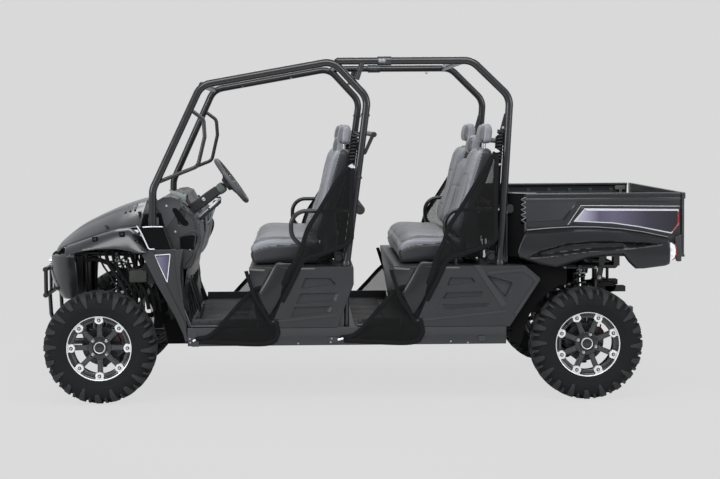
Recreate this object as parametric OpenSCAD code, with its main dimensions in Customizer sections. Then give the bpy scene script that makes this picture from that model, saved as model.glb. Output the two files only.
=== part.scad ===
// Side by side utility vehicle with two bench rows and a tilting cargo bed.
// Millimetres. +X forward, +Y to the left, +Z up. The origin is on the ground, halfway along and across.

/* [Overall] */
// Front axle to rear axle
wheelbase = 2819; // [2700:1:3400]
// Front axle to the foremost tube of the brush guard
front_overhang = 385; // [350:1:450]
// Rear axle to the outer face of the tailgate
rear_overhang = 576; // [540:1:660]
// Side to side over the tyres
overall_w = 1560; // [1500:1:1900]
// Ground to the top of the roof tubes
overall_h = 1995; // [1800:1:2400]

/* [Wheels] */
// Tyre outer diameter
tyre_d = 656; // [600:1:700]
// Tyre width
tyre_w = 230; // [180:1:250]
// Rim diameter at the bead
rim_d = 356; // [330:1:360]
// Rim width between the flanges
rim_w = 178; // [160:1:190]
// Rim barrel wall
rim_wall = 6; // [4:0.5:10]
// Spokes of each wheel
spoke_count = 8; // [5:1:10]
// Wheel nuts
nut_count = 4; // [4:1:6]
// Diameter of the circle the wheel nuts sit on
nut_pcd = 110; // [100:1:130]
// Kingpin axis inboard of the tyre's middle plane
kingpin_offset = 75; // [60:1:90]
// Wheel spindle radius
spindle_r = 20; // [15:0.5:25]
// Brake disc radius
disc_r = 112; // [90:1:125]

/* [Cage] */
// Roll cage tube diameter
cage_d = 44; // [38:0.5:51]
// Centreline bend radius of the cage tubes
cage_bend = 110; // [80:1:140]
// Cage tube centre to the middle plane, at the feet
cage_y_low = 690; // [660:1:720]
// Cage tube centre to the middle plane, at the roof
cage_y_top = 615; // [580:1:650]
// Diameter of the door-side hip bars and pillar braces
hip_d = 25; // [19:0.5:32]

/* [Frame] */
// Main frame tube diameter
frame_d = 38; // [32:0.5:45]
// Half width of the inner rails under the cab
rail_y = 300; // [260:1:340]
// Half width of the suspension bulkheads
bulkhead_y = 190; // [180:1:220]
// Height of the cabin floor
floor_z = 432; // [400:1:460]
// Thickness of the floor panels
floor_t = 8; // [4:0.5:12]
// Underside of the rocker panels
sill_z = 332; // [310:1:350]
// Half width over the rocker panels
sill_y = 745; // [735:1:780]

/* [Seats] */
// Top of the seat bases
deck_z = 788; // [770:1:830]
// Bench width
bench_w = 1250; // [1150:1:1260]
// Gap between a cushion and what it rests on
soft_gap = 0.4; // [0.3:0.1:1]

/* [Bed] */
// Height of the bed's top rail
bed_top = 1200; // [1150:1:1280]
// Top of the bed floor
bed_floor_z = 880; // [860:1:900]
// Half width over the bed sides
bed_y = 700; // [660:1:720]
// Thickness of the bed side walls
bed_wall = 45; // [30:1:60]
// Half width over the bed flares
flare_y = 765; // [750:1:780]

/* [Steering] */
// Steering wheel diameter
wheel_d = 335; // [300:1:380]
// Steering wheel rim thickness
wheel_grip = 28; // [24:1:34]
// Steering wheel centre to the middle plane
driver_y = 380; // [340:1:420]
// Rack bar radius
rack_r = 11; // [9:0.5:13]

/* [Hitch] */
// Opening of the square hitch receiver
receiver_in = 51.6; // [50:0.1:53]
// Wall of the hitch receiver
receiver_wall = 6; // [5:0.5:8]
// Radius of the hitch pin hole
hitch_pin_r = 8.25; // [8:0.05:8.5]
// Hitch pin hole to the receiver's mouth
hitch_pin_set = 63; // [55:1:70]

/* [Hidden] */
$fn = 64;

black = [0.05, 0.05, 0.055];
plastic = [0.12, 0.12, 0.13];
vinyl = [0.36, 0.36, 0.38];
rubber = [0.08, 0.08, 0.08];
silver = [0.75, 0.75, 0.77];
steel = [0.45, 0.45, 0.46];

seat_gap = 0.3;      // between bolted pieces that rest on each other
run_gap = 0.05;      // radial clearance of a turning fit

fx = (wheelbase + rear_overhang - front_overhang) / 2;   // front axle
rx = fx - wheelbase;                                     // rear axle
wz = tyre_d / 2;                                         // wheel centres
wy = (overall_w - tyre_w) / 2;                           // middle plane of the wheels
kp_y = wy - kingpin_offset;                              // kingpin
nose_x = fx + front_overhang;
tail_x = rx - rear_overhang;
deck_t = 10;                                             // top of the seat bases
cage_r = cage_d / 2;
cross_r = cage_r - 4;
roof_z = overall_h - cage_r;
header_z = roof_z - 134;
frame_r = frame_d / 2;
post_r = frame_r - 4;
frame_z = floor_z - floor_t - seat_gap - frame_r;
low_z = 290;                                             // bulkhead rails
front_top_z = 830;                                       // top rails of the bulkheads
rear_top_z = 730;
arm_up_z = 520;                                          // pivots of the upper arms
arm_pivot_y = bulkhead_y + frame_r + seat_gap + 15;
ball_low = wz - 98;                                      // ball joint faces of the knuckles
ball_up = wz + 108;
row1_x = fx - 854;                                       // front edge of each cushion
row2_x = rx + 1131;
hoop1_x = fx - 1426;                                     // feet of the middle hoop
hoop2_x = rx + 502;                                      // feet of the rear hoop
pivot_x = rx - 280;                                      // bed pivot
pivot_z = 776;
gate_t = 20;
gate_gap = 10;                                           // lets the gate's lower edge swing
gate_axis = [tail_x + 7, 0, 834];
bed_back = tail_x + gate_t + gate_gap;
bed_nose = rx + 444;
bed_rail_z = 812;                                        // underside of the bed's rails, on their rests
mouth_x = rx - 425;                                      // hitch receiver, clear of the tyres
hitch_z = 420;
strut_foot = [rx - 86, 110, 530];
strut_eye = [rx + 14, 110, 790];
strut_pin_r = 8;
wheel_pos = [fx - 754, driver_y, 1276];
wheel_tilt = 53.5;                                       // column axis from vertical
col_axis = [sin(wheel_tilt), 0, -cos(wheel_tilt)];
rack_x = fx - 95;
rack_z = 350;
rack_end_z = wz - 36;                                    // tie rod ends, under the steering arms
guard_r = 14;
guard_x = nose_x - guard_r;

// ---- shared shapes ----
function unit(v) = v / norm(v);
function ang(u, v) = acos(max(-1, min(1, u * v)));
function mix(a, b, t) = a + (b - a) * t;

module both() {
    children();
    mirror([0, 1, 0]) children();
}

module rod(a, b, r) {
    d = b - a;
    translate(a) rotate([0, acos(d[2] / norm(d)), atan2(d[1], d[0])]) cylinder(h = norm(d), r = r);
}

// A bend of centreline radius R about the corner p between the directions u and v
module bend(p, u, v, R, r) {
    t = ang(u, v);
    k = R * tan(t / 2);
    c = p - u * k + R * unit(v - (v * u) * u);
    n = unit(cross(u, v));
    e1 = unit((p - u * k) - c);
    e2 = cross(n, e1);
    multmatrix([[e1[0], e2[0], n[0], c[0]], [e1[1], e2[1], n[1], c[1]], [e1[2], e2[2], n[2], c[2]], [0, 0, 0, 1]])
        rotate_extrude(angle = t, $fn = 96) translate([R, 0]) circle(r = r + 0.3, $fn = 48);
}

// A round tube through the points, with a bend of radius R at each inner one
module tube(pts, R, r) {
    n = len(pts);
    dir = [for (i = [0:n - 2]) unit(pts[i + 1] - pts[i])];
    function cut(i) = (i == 0 || i == n - 1) ? 0 : R * tan(ang(dir[i - 1], dir[i]) / 2) - 4;
    for (i = [0:n - 2])
        rod(pts[i] + dir[i] * cut(i), pts[i + 1] - dir[i] * cut(i + 1), r);
    for (i = [1:n - 2])
        bend(pts[i], dir[i - 1], dir[i], R, r);
}

// A thin curved panel: a grid of points and its copy moved by d, closed round the edge
module skin(g, d) {
    n = len(g);
    m = len(g[0]);
    front = [for (row = g) for (p = row) p];
    back = [for (row = g) for (p = row) p + d];
    function at(i, j, s) = s * n * m + i * m + j;
    faces = [
        for (i = [0:n - 2]) for (j = [0:m - 2]) each [
            [at(i, j, 0), at(i, j + 1, 0), at(i + 1, j + 1, 0)],
            [at(i, j, 0), at(i + 1, j + 1, 0), at(i + 1, j, 0)],
            [at(i, j, 1), at(i + 1, j + 1, 1), at(i, j + 1, 1)],
            [at(i, j, 1), at(i + 1, j, 1), at(i + 1, j + 1, 1)]],
        for (j = [0:m - 2]) each [
            [at(0, j, 0), at(0, j, 1), at(0, j + 1, 1)], [at(0, j, 0), at(0, j + 1, 1), at(0, j + 1, 0)],
            [at(n - 1, j, 0), at(n - 1, j + 1, 1), at(n - 1, j, 1)],
            [at(n - 1, j, 0), at(n - 1, j + 1, 0), at(n - 1, j + 1, 1)]],
        for (i = [0:n - 2]) each [
            [at(i, 0, 0), at(i + 1, 0, 1), at(i, 0, 1)], [at(i, 0, 0), at(i + 1, 0, 0), at(i + 1, 0, 1)],
            [at(i, m - 1, 0), at(i, m - 1, 1), at(i + 1, m - 1, 1)],
            [at(i, m - 1, 0), at(i + 1, m - 1, 1), at(i + 1, m - 1, 0)]]];
    polyhedron(concat(front, back), faces);
}

// A side outline given as [x, z], extruded from y0 to y1
module side_plate(pts, y0, y1) {
    translate([0, y1, 0]) rotate([90, 0, 0]) linear_extrude(y1 - y0) polygon(pts);
}

module block(lo, hi) {
    translate(lo) cube(hi - lo);
}

// ---- frame ----
module frame_rails() {
    color(black) {
        both() {
            rod([fx - 505, rail_y, frame_z], [rx + 330, rail_y, frame_z], frame_r);
            rod([fx - 500, cage_y_low, frame_z], [rx + 480, cage_y_low, frame_z], frame_r);
            // posts that carry the feet of the cage
            rod([fx - 530, cage_y_low, frame_z], [fx - 312, cage_y_low, 990], frame_r - 1);
            translate([fx - 309, cage_y_low, 992]) cylinder(h = 8, r = 30);
            for (x = [hoop1_x, hoop2_x])
                translate([x, cage_y_low, frame_z]) cylinder(h = deck_z - deck_t - seat_gap - frame_z, r = post_r);
        }
        for (x = [fx - 530, fx - 945, hoop1_x, rx + 1000, hoop2_x])
            rod([x, -cage_y_low, frame_z], [x, cage_y_low, frame_z], frame_r - 2);
    }
}

// One suspension bulkhead about the axle at x, with its lower rails running on to x_end
module bulkhead(x, top_z) {
    both() {
        for (dx = [-150, 150])
            rod([x + dx, bulkhead_y, low_z], [x + dx, bulkhead_y, top_z], frame_r - 3);
        rod([x - 175, bulkhead_y, top_z], [x + 175, bulkhead_y, top_z], frame_r);
        rod([x - 150, bulkhead_y, arm_up_z], [x + 150, bulkhead_y, arm_up_z], frame_r - 5);
    }
    for (dx = [-150, 150])
        for (z = [low_z, top_z])
            rod([x + dx, -bulkhead_y, z], [x + dx, bulkhead_y, z], frame_r - 4);
}

module rack_clamp() {
    difference() {
        union() {
            rod([rack_x, -1, rack_z], [rack_x, 150, rack_z], 20);
            block([rack_x - 18, 120, low_z + 6], [rack_x + 18, 172, rack_z - 14]);
        }
        rod([rack_x, -2, rack_z], [rack_x, 152, rack_z], rack_r + run_gap);
    }
}

module front_frame() {
    color(black) {
        bulkhead(fx, front_top_z);
        both() {
            tube([[fx - 505 + seat_gap, rail_y, frame_z], [fx - 440, rail_y, frame_z],
                [fx - 290, bulkhead_y, low_z], [fx + 230, bulkhead_y, low_z]], 60, frame_r);
            rod([fx - 45, bulkhead_y, front_top_z], [fx - 45, bulkhead_y + 75, front_top_z], 10);
            // rack housing on the lower rails
            rack_clamp();
            // brackets out to the fenders
            for (dx = [-120, 100])
                tube([[fx + dx, bulkhead_y, front_top_z], [fx + dx, 290, fender_tab_z], [fx + dx, fender_in - seat_gap,
                    fender_tab_z]], 40, 8);
        }
    }
}

module hitch_receiver() {
    out = receiver_in / 2 + receiver_wall;
    difference() {
        block([mouth_x, -out, hitch_z - out], [rx - 140, out, hitch_z + out]);
        block([mouth_x - 1, -receiver_in / 2, hitch_z - receiver_in / 2], [rx - 160, receiver_in / 2, hitch_z + receiver_in / 2]);
        translate([mouth_x + hitch_pin_set, out + 1, hitch_z]) rotate([90, 0, 0])
            cylinder(h = 2 * out + 2, r = hitch_pin_r);
    }
}

module rear_frame() {
    color(black) {
        bulkhead(rx, rear_top_z);
        both() {
            tube([[rx + 330 - seat_gap, rail_y, frame_z], [rx + 290, rail_y, frame_z],
                [rx + 215, bulkhead_y, low_z], [rx - 165, bulkhead_y, low_z]], 50, frame_r);
            rod([rx + 175, bulkhead_y, rear_top_z], [rx + 245, bulkhead_y, rear_top_z], frame_r);
            rod([rx - 175, bulkhead_y, rear_top_z], [pivot_x, bulkhead_y, rear_top_z], frame_r);
            rod([rx - 45, bulkhead_y, rear_top_z], [rx - 45, bulkhead_y + 75, rear_top_z], 10);
            // bed pivot: two ears and the pin between them
            for (y = [bulkhead_y - 33, bulkhead_y + 25])
                side_plate([[pivot_x - 18, rear_top_z], [pivot_x + 18, rear_top_z], [pivot_x + 18, pivot_z + 14],
                    [pivot_x - 18, pivot_z + 14]], y, y + 8);
            translate([pivot_x, bulkhead_y + 30, pivot_z]) rotate([90, 0, 0]) cylinder(h = 60, r = 10);
            // rest for the lowered bed
            translate([rx + 225, bulkhead_y, rear_top_z]) cylinder(h = bed_rail_z - seat_gap - rear_top_z, r = 15);
        }
        rod([pivot_x, -bulkhead_y, rear_top_z], [pivot_x, bulkhead_y, rear_top_z], frame_r - 4);
        rod([rx + 225, -bulkhead_y, rear_top_z], [rx + 225, bulkhead_y, rear_top_z], frame_r - 4);
        translate([strut_foot[0], bulkhead_y, strut_foot[2]]) rotate([90, 0, 0])
            cylinder(h = 2 * bulkhead_y, r = strut_pin_r);
        // hitch cross tube between the lower rails
        rod([rx - 150, -bulkhead_y, hitch_z], [rx - 150, bulkhead_y, hitch_z], frame_r - 6);
        hitch_receiver();
    }
}

// ---- cabin ----
module floor_pan() {
    color(plastic) difference() {
        union() {
            block([rx + 1060, -sill_y + 32, floor_z - floor_t], [fx - 505, sill_y - 32, floor_z]);
            // footrest and firewall
            side_plate([[fx - 560, floor_z - 4], [fx - 505, floor_z - 8], [fx - 470, 560], [fx - 496, 771 - seat_gap],
                [fx - 504, 771 - seat_gap], [fx - 480, 560]], -600, 600);
        }
        both() translate([hoop1_x, cage_y_low, floor_z - 20]) cylinder(h = 40, r = post_r + 1);
        both() block([fx - 560, 655, floor_z - 30], [fx - 500, 720, floor_z + 10]);
    }
}

module side_sills() {
    color(plastic) both() {
        side_plate([[fx - 500 - seat_gap, sill_z], [fx - 500 - seat_gap, floor_z], [rx + 470, floor_z], [rx + 466, sill_z + 20],
            [rx + 520, sill_z]], sill_y - 30, sill_y);
        for (x = [fx - 700, hoop1_x, rx + 800])
            block([x - 15, cage_y_low + frame_r + seat_gap, frame_z - 10], [x + 15, sill_y - 28, frame_z + 10]);
    }
}

// A hollow seat base from its side view outline and that of its inside
module seat_base(outline, inner) {
    color(plastic) difference() {
        side_plate(outline, -sill_y, sill_y);
        side_plate(inner, -sill_y + 8, sill_y - 8);
    }
}

base1 = [[row1_x - 10, deck_z - 24], [row1_x - 25, deck_z], [fx - 1468, deck_z], [fx - 1467, 680],
    [fx - 1375, floor_z + seat_gap], [row1_x - 60, floor_z + seat_gap]];
base1_in = [[row1_x - 20, deck_z - 28], [row1_x - 32, deck_z - deck_t], [fx - 1458, deck_z - deck_t], [fx - 1457, 684],
    [fx - 1362, floor_z - 10], [row1_x - 72, floor_z - 10]];
base2 = [[row2_x - 10, deck_z - 24], [row2_x - 25, deck_z], [rx + 363, deck_z], [rx + 271, 705],
    [rx + 455, floor_z + seat_gap], [row2_x - 60, floor_z + seat_gap]];
base2_in = [[row2_x - 20, deck_z - 28], [row2_x - 32, deck_z - deck_t], [rx + 367, deck_z - deck_t], [rx + 284, 708],
    [rx + 469, floor_z - 10], [row2_x - 72, floor_z - 10]];

module seat_base_front() {
    difference() {
        seat_base(base1, base1_in);
        // ways through the rear wall for the posts under the middle hoop
        both() translate([hoop1_x, cage_y_low, floor_z - 1])
            cylinder(h = deck_z - deck_t - floor_z, r = post_r + 3);
    }
}

module seat_base_rear() {
    difference() {
        seat_base(base2, base2_in);
        // way out for the gearbox
        block([rx + 200, -120, floor_z - 20], [rx + 500, 120, 575]);
    }
}

// Cushion outline in side view, from its front edge backwards
function cushion_side(x) = [[x - 10, deck_z + soft_gap], [x, 835], [x, 885], [x - 12, 915], [x - 40, 936],
    [x - 90, 948], [x - 200, 950], [x - 360, 940], [x - 440, 925], [x - 440, deck_z + soft_gap]];

module seat_cushions() {
    color(vinyl) for (x = [row1_x, row2_x])
        side_plate(cushion_side(x), -bench_w / 2, bench_w / 2);
}

// Backrest outline in side view; z1 is its top
function back_side(x, z1) = [[x - 446, deck_z + soft_gap], [x - 446, 925], [x - 366, 955], [x - 400, 1090],
    [x - 366 - (z1 - 955) * 0.29, z1 - 20], [x - 380 - (z1 - 955) * 0.29, z1],
    [x - 460 - (z1 - 955) * 0.29, z1], [x - 475 - (z1 - 955) * 0.29, z1 - 20],
    [x - 500, 1090], [x - 530, deck_z + 60], [x - 530, deck_z + soft_gap]];

// Middle of each outer seat, half width of the outer and of the middle back
seat_y = 417;
back_w = 406;
mid_w = 400;
back_top = 1480;
mid_top = 1410;

module seat_backs() {
    color(vinyl) for (x = [row1_x, row2_x]) {
        both() side_plate(back_side(x, back_top), seat_y - back_w / 2, seat_y + back_w / 2);
        side_plate(back_side(x, mid_top), -mid_w / 2, mid_w / 2);
    }
}

// Headrest outline standing on a backrest that ends at z1
function head_side(x, z1, h) = [[x - 385 - (z1 - 955) * 0.29, z1 + soft_gap], [x - 374 - (z1 - 955) * 0.29, z1 + 20],
    [x - 388 - (z1 - 955) * 0.29, z1 + h - 25], [x - 412 - (z1 - 955) * 0.29, z1 + h],
    [x - 450 - (z1 - 955) * 0.29, z1 + h - 4], [x - 468 - (z1 - 955) * 0.29, z1 + h - 40],
    [x - 455 - (z1 - 955) * 0.29, z1 + soft_gap]];

module headrests() {
    color(vinyl) for (x = [row1_x, row2_x]) {
        both() side_plate(head_side(x, back_top, 132), seat_y - 125, seat_y + 125);
        side_plate(head_side(x, mid_top, 130), -100, 100);
    }
}

// ---- cage ----
lean1 = 0.134;   // backward lean of each hoop, per unit of height
lean2 = 0.068;
function hoop_x(foot_x, lean, z) = foot_x - lean * (z - deck_z);
function cage_y(z) = mix(cage_y_low, cage_y_top, max(0, min(1, (z - 1100) / (header_z - 1100))));

// The middle hoop, shared by the two halves of the cage
bend_up_x = fx - 1358;
splice_x = fx - 1655;
foot_z = deck_z + seat_gap;

module collar(x0, x1) {
    rod([x0, cage_y_top, roof_z], [x1, cage_y_top, roof_z], cage_r + 5);
}

module foot(x) {
    translate([x, cage_y_low, foot_z]) cylinder(h = 9, r = 26);
}

module cage_front() {
    knee = roof_z - 215;
    color(black) {
        both() {
            tube([[fx - 309, cage_y_low, 1002 + seat_gap], [fx - 313, cage_y_low, 1238],
                [fx - 592, cage_y_top, header_z], [bend_up_x, cage_y_top, roof_z],
                [hoop_x(hoop1_x, lean1, knee), mix(cage_y_low, cage_y_top, 0.75), knee],
                [hoop1_x, cage_y_low, foot_z + 5]], cage_bend, cage_r);
            rod([bend_up_x - 20, cage_y_top, roof_z], [splice_x + seat_gap, cage_y_top, roof_z], cage_r - 1);
            collar(splice_x + 40, splice_x + seat_gap);
            // gusset from the hoop up to the roof tube
            rod([fx - 1494, cage_y_top + 16, roof_z - 106], [fx - 1530, cage_y_top, roof_z], hip_d / 2 + 3);
            // pillar brace
            tube([[fx - 527, cage_y(1700), 1700], [fx - 606, cage_y(1650), 1640], [fx - 612, cage_y(1560), 1540],
                [fx - 572, cage_y(1400), 1370], [fx - 338, cage_y(1275) + 4, 1278]], 45, hip_d / 2 - 1);
            foot(hoop1_x);
            translate([fx - 309, cage_y_low, 1000 + seat_gap]) cylinder(h = 9, r = 30);
        }
        rod([fx - 597, -cage_y_top, header_z], [fx - 597, cage_y_top, header_z], cross_r);
        rod([bend_up_x - 22, -cage_y_top, roof_z - 3], [bend_up_x - 22, cage_y_top, roof_z - 3], cross_r);
        for (z = [1115, 1542])
            rod([hoop_x(hoop1_x, lean1, z), -cage_y(z), z], [hoop_x(hoop1_x, lean1, z), cage_y(z), z], cross_r - 2);
    }
}

module cage_rear() {
    knee = roof_z - 215;
    color(black) {
        both() {
            tube([[splice_x - seat_gap, cage_y_top, roof_z], [rx + 655, cage_y_top, roof_z],
                [hoop_x(hoop2_x, lean2, knee), mix(cage_y_low, cage_y_top, 0.75), knee],
                [hoop2_x, cage_y_low, foot_z + 5]], cage_bend, cage_r);
            collar(splice_x - seat_gap, splice_x - 40);
            foot(hoop2_x);
        }
        rod([rx + 700, -cage_y_top, roof_z], [rx + 700, cage_y_top, roof_z], cross_r);
        for (z = [1115, 1500])
            rod([hoop_x(hoop2_x, lean2, z), -cage_y(z), z], [hoop_x(hoop2_x, lean2, z), cage_y(z), z], cross_r - 2);
    }
}

module hip_bars() {
    top = 1107;
    y = cage_y(top) - 8;
    color(black) both() for (hoop = [[hoop1_x, lean1], [hoop2_x, lean2]]) {
        foot_x = hoop[0];
        tube([[hoop_x(foot_x, hoop[1], top) + cage_r + 2.2, y, top], [foot_x + 318, y, top],
            [foot_x + 318, y, 960], [foot_x + 256, y, 905], [foot_x + 256, y, foot_z + 3]], 85, hip_d / 2);
        translate([foot_x + 256, y, foot_z]) cylinder(h = 7, r = 18);
    }
}

// A door net between the hoop, the seat base and the rocker; x is its row's cushion edge
module door_net(x) {
    out = sill_y + 1;
    g = [[[x - 120, out, 447], [x + 110, out, 392], [x + 334, out, 381]],
        [[x - 210, out, 640], [x - 130, out, 600], [x - 30, out, 560]],
        [[x - 280, out, 800], [x - 225, out, 760], [x - 100, out, 680]],
        [[x - 550, out - 0.7, 842], [x - 400, out - 0.7, 842], [x - 205, out - 0.7, 842]],
        [[x - 602, out - 46, 1386], [x - 598, out - 46, 1390], [x - 594, out - 46, 1394]]];
    skin(g, [0, 3, 0]);
}

module side_nets() {
    color(black) both() for (x = [row1_x, row2_x])
        door_net(x);
}

// ---- front body ----
// Hood crown and side heights along the length, from the front axle
crown = [[-234, 1152], [-109, 1118], [63, 1050], [156, 1004], [223, 958], [290, 909], [318, 884]];
seam = [[-300, 1018], [-177, 1013], [-96, 1008], [-2, 980], [174, 919], [240, 893], [290, 868], [318, 850]];
hood_half = [[-234, 596], [0, 600], [174, 560], [290, 440], [318, 380]];
hood_t = 12;
fender_in = 607;      // inner edge of the fenders
fender_tab_z = 912;   // tabs that the fender brackets reach

module hood() {
    xs = [-234, -170, -109, -23, 63, 110, 156, 190, 223, 258, 290, 312];
    ys = [-1, -0.97, -0.86, -0.7, -0.48, -0.24, 0, 0.24, 0.48, 0.7, 0.86, 0.97, 1];
    function drop(t) = pow(abs(t), 3.2);
    color(black) {
        skin([for (x = xs) [for (t = ys)
            [fx + x, t * lookup(x, hood_half),
                mix(lookup(x, crown), lookup(x, seam) + seat_gap * 8, drop(t))]]], [0, 0, -hood_t]);
        // hinge knuckles under the nose
        both() {
            difference() {
                union() {
                    side_plate([[fx + 280, 884], [fx + 304, 876], [hinge[0] + 6, hinge[2]], [hinge[0] - 8, hinge[2]]],
                        238, 250);
                    translate([hinge[0], 250, hinge[2]]) rotate([90, 0, 0]) cylinder(h = 12, r = 10);
                }
                translate([hinge[0], 252, hinge[2]]) rotate([90, 0, 0]) cylinder(h = 16, r = 5 + run_gap);
            }
        }
    }
}

hinge = [fx + 318, 0, 842];

module front_fascia() {
    color(black) {
        difference() {
            side_plate([[fx + 332, 836], [fx + 341, 836], [fx + 349, 800], [fx + 354, 765], [fx + 348, 680],
                [fx + 300, 572], [fx + 190, 572], [fx + 164, 866], [fx + 222, 866], [fx + 228, 836]], -425, 425);
            side_plate([[fx + 326, 828], [fx + 333, 828], [fx + 340, 800], [fx + 345, 764], [fx + 339, 682],
                [fx + 294, 560], [fx + 180, 560], [fx + 150, 858], [fx + 217, 858], [fx + 223, 828]], -415, 415);
            for (z = [640, 676, 712, 748])
                block([fx + 280, -270, z], [fx + 380, 270, z + 18]);
            both() block([fx + 280, 300, 770], [fx + 380, 410, 824]);
            // pockets for the hinge knuckles of the hood
            both() block([hinge[0] - 24, 232, 815], [hinge[0] + 40, 256, 850]);
        }
        // hinge pins of the hood and their ears
        both() {
            block([hinge[0] - 8, 222, 820], [hinge[0] + 8, 230, hinge[2] + 8]);
            block([hinge[0] - 8, 258, 820], [hinge[0] + 8, 266, hinge[2] + 8]);
            translate([hinge[0], 266, hinge[2]]) rotate([90, 0, 0]) cylinder(h = 44, r = 5);
            // stays on the ends of the bulkhead's top rails
            block([fx + 175 + seat_gap, bulkhead_y - 12, 820], [fx + 215, bulkhead_y + 12, 862]);
        }
    }
}

module headlights() {
    color(silver) both()
        side_plate([[fx + 310, 770 + seat_gap], [fx + 354, 770 + seat_gap], [fx + 349, 800], [fx + 344, 824 - seat_gap],
            [fx + 310, 824 - seat_gap]], 300 + seat_gap, 410 - seat_gap);
}

module front_fenders() {
    edge = concat([[-290, 902]], [for (p = seam) if (p[0] >= -177) p]);
    low = [[-290, 868], [-239, 872], [-184, 896], [-85, 908], [132, 881], [190, 872]];
    xs = [-286, -239, -184, -135, -85, -2, 70, 132, 172];
    color(black) both() {
        for (dx = [-120, 100])
            block([fx + dx - 14, fender_in, fender_tab_z - 14], [fx + dx + 14, fender_in + 6, lookup(dx, edge) - 19]);
        skin([for (x = xs) [
            [fx + x, fender_in, lookup(x, edge) - 16], [fx + x, 680, lookup(x, edge) - 18],
            [fx + x, 735, mix(lookup(x, edge), lookup(x, low), 0.35)],
            [fx + x, 758, mix(lookup(x, edge), lookup(x, low), 0.75)],
            [fx + x, 762, lookup(x, low)]]], [0, -8, -6]);
    }
}

module leg_panels() {
    color(plastic) both() {
        // leg shield
        side_plate([[fx - 250, 865], [fx - 447, 880], [fx - 444, 577], [fx - 500, 436], [fx - 500, sill_z + 12],
            [fx - 473, sill_z + 12]], sill_y - 32, sill_y - 8);
        // cowl box round the foot of the cage
        difference() {
            side_plate([[fx - 226, 1023], [fx - 300, 1028], [fx - 385, 1028], [fx - 420, 875], [fx - 308, 868]],
                640, sill_y - 8);
            side_plate([[fx - 215, 1060], [fx - 377, 1060], [fx - 412, 850], [fx - 326.5, 850]], 648, sill_y - 16);
        }
    }
}

dash_side = [[fx - 305, 1150], [fx - 362, 1192], [fx - 474, 1140], [fx - 552, 1075], [fx - 574, 930],
    [fx - 536, 801], [fx - 505, 771], [fx - 440, 771], [fx - 300, 900]];
dash_inner = [[fx - 280, 1140], [fx - 362, 1180], [fx - 468, 1130], [fx - 542, 1069], [fx - 562, 931],
    [fx - 527, 807], [fx - 500, 781], [fx - 440, 781], [fx - 290, 890]];

module dash() {
    color(plastic) difference() {
        side_plate(dash_side, -632, 632);
        side_plate(dash_inner, -622, 622);
        rod(wheel_pos, wheel_pos + 420 * col_axis, 42 + seat_gap);
    }
}

// ---- steering ----
module driver_controls() {
    color(black) {
        // column shroud, then the inner shaft down to the pinion
        rod(wheel_pos + 56 * col_axis, wheel_pos + 150 * col_axis, 30);
        rod(wheel_pos + 140 * col_axis, wheel_pos + 380 * col_axis, 42);
        rod(wheel_pos + 370 * col_axis, [rack_x - 34, 90, rack_z + 30], 9);
        // pedals
        for (y = [300, 440])
            side_plate([[fx - 496.2, 700], [fx - 509, 700], [fx - 560, floor_z + 88], [fx - 570, floor_z + 38], [fx - 562, floor_z + 38],
                [fx - 545, floor_z + 88], [fx - 494, 680]], y, y + 18);
        for (y = [280, 420])
            side_plate([[fx - 578, floor_z + 98], [fx - 570, floor_z + 100], [fx - 558, floor_z + 30],
                [fx - 566, floor_z + 28]], y, y + 60);
    }
    color(steel) {
        // shift lever and the pin that carries the steering wheel
        rod([fx - 564.8, 120, 1000], [fx - 600, 120, 1000], 9);
        rod([fx - 596, 120, 998], [fx - 640, 112, 1120], 7);
        translate([fx - 641, 112, 1124]) sphere(r = 20);
        rod(wheel_pos + 30 * col_axis, wheel_pos + 60 * col_axis, 10);
    }
}

module steering_wheel() {
    color(black) translate(wheel_pos) rotate([0, 180 - wheel_tilt, 0]) {
        rotate_extrude($fn = 96) translate([(wheel_d - wheel_grip) / 2, 0]) circle(r = wheel_grip / 2, $fn = 32);
        difference() {
            translate([0, 0, 12]) cylinder(h = 38, r = 38);
            translate([0, 0, 24]) cylinder(h = 30, r = 10 + run_gap);
        }
        for (a = [0, 120, 240])
            rod([(wheel_d - wheel_grip) / 2 * cos(a), (wheel_d - wheel_grip) / 2 * sin(a), 0],
                [28 * cos(a), 28 * sin(a), 22], 9);
    }
}

module steering_rack() {
    color(steel) {
        rod([rack_x, -236, rack_z], [rack_x, 236, rack_z], rack_r);
        both() {
            rod([rack_x, 232, rack_z], [rack_x, kp_y - 6, rack_end_z], 8);
            translate([rack_x, kp_y - 4, rack_end_z - 10]) cylinder(h = 20, r = 13);
        }
    }
}

// ---- running gear ----
ball_h = 16;         // half height of a ball joint
shock_y = 330;

module a_arm(x, pivot_y, pivot_z0, ball_z, spread, r) {
    for (s = [-1, 1]) {
        rod([x + s * spread, pivot_y, pivot_z0], [x + s * 12, kp_y, ball_z - 4], r);
        rod([x + s * (spread - 32), pivot_y, pivot_z0], [x + s * (spread + 32), pivot_y, pivot_z0], 15);
    }
    translate([x, kp_y, ball_z - ball_h]) cylinder(h = 2 * ball_h, r = 24);
}

module arms(x) {
    both() {
        a_arm(x, arm_pivot_y, low_z, ball_low - seat_gap - ball_h, 135, 13);
        a_arm(x, arm_pivot_y - 3, arm_up_z, ball_up + seat_gap + ball_h + 4, 125, 11);
        // cross tube with the shock's lower eye
        rod([x - 100, shock_y, low_z - 22], [x - 26, shock_y, low_z - 22], 10);
    }
}

module front_arms() {
    color(black) arms(fx);
}

module rear_arms() {
    color(black) arms(rx);
}

module shock(x, top_z) {
    low = [x - 45, shock_y, low_z - 22 + 10 + seat_gap + 12];
    top = [x - 45, bulkhead_y + 50, top_z - 10 - seat_gap - 12];
    d = unit(top - low);
    rod(low + 8 * d, top - 8 * d, 15);
    rod(mix(low, top, 0.18), mix(low, top, 0.92), 34);
    for (p = [low, top])
        translate(p - [16, 0, 0]) rotate([0, 90, 0]) cylinder(h = 32, r = 12);
}

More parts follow.
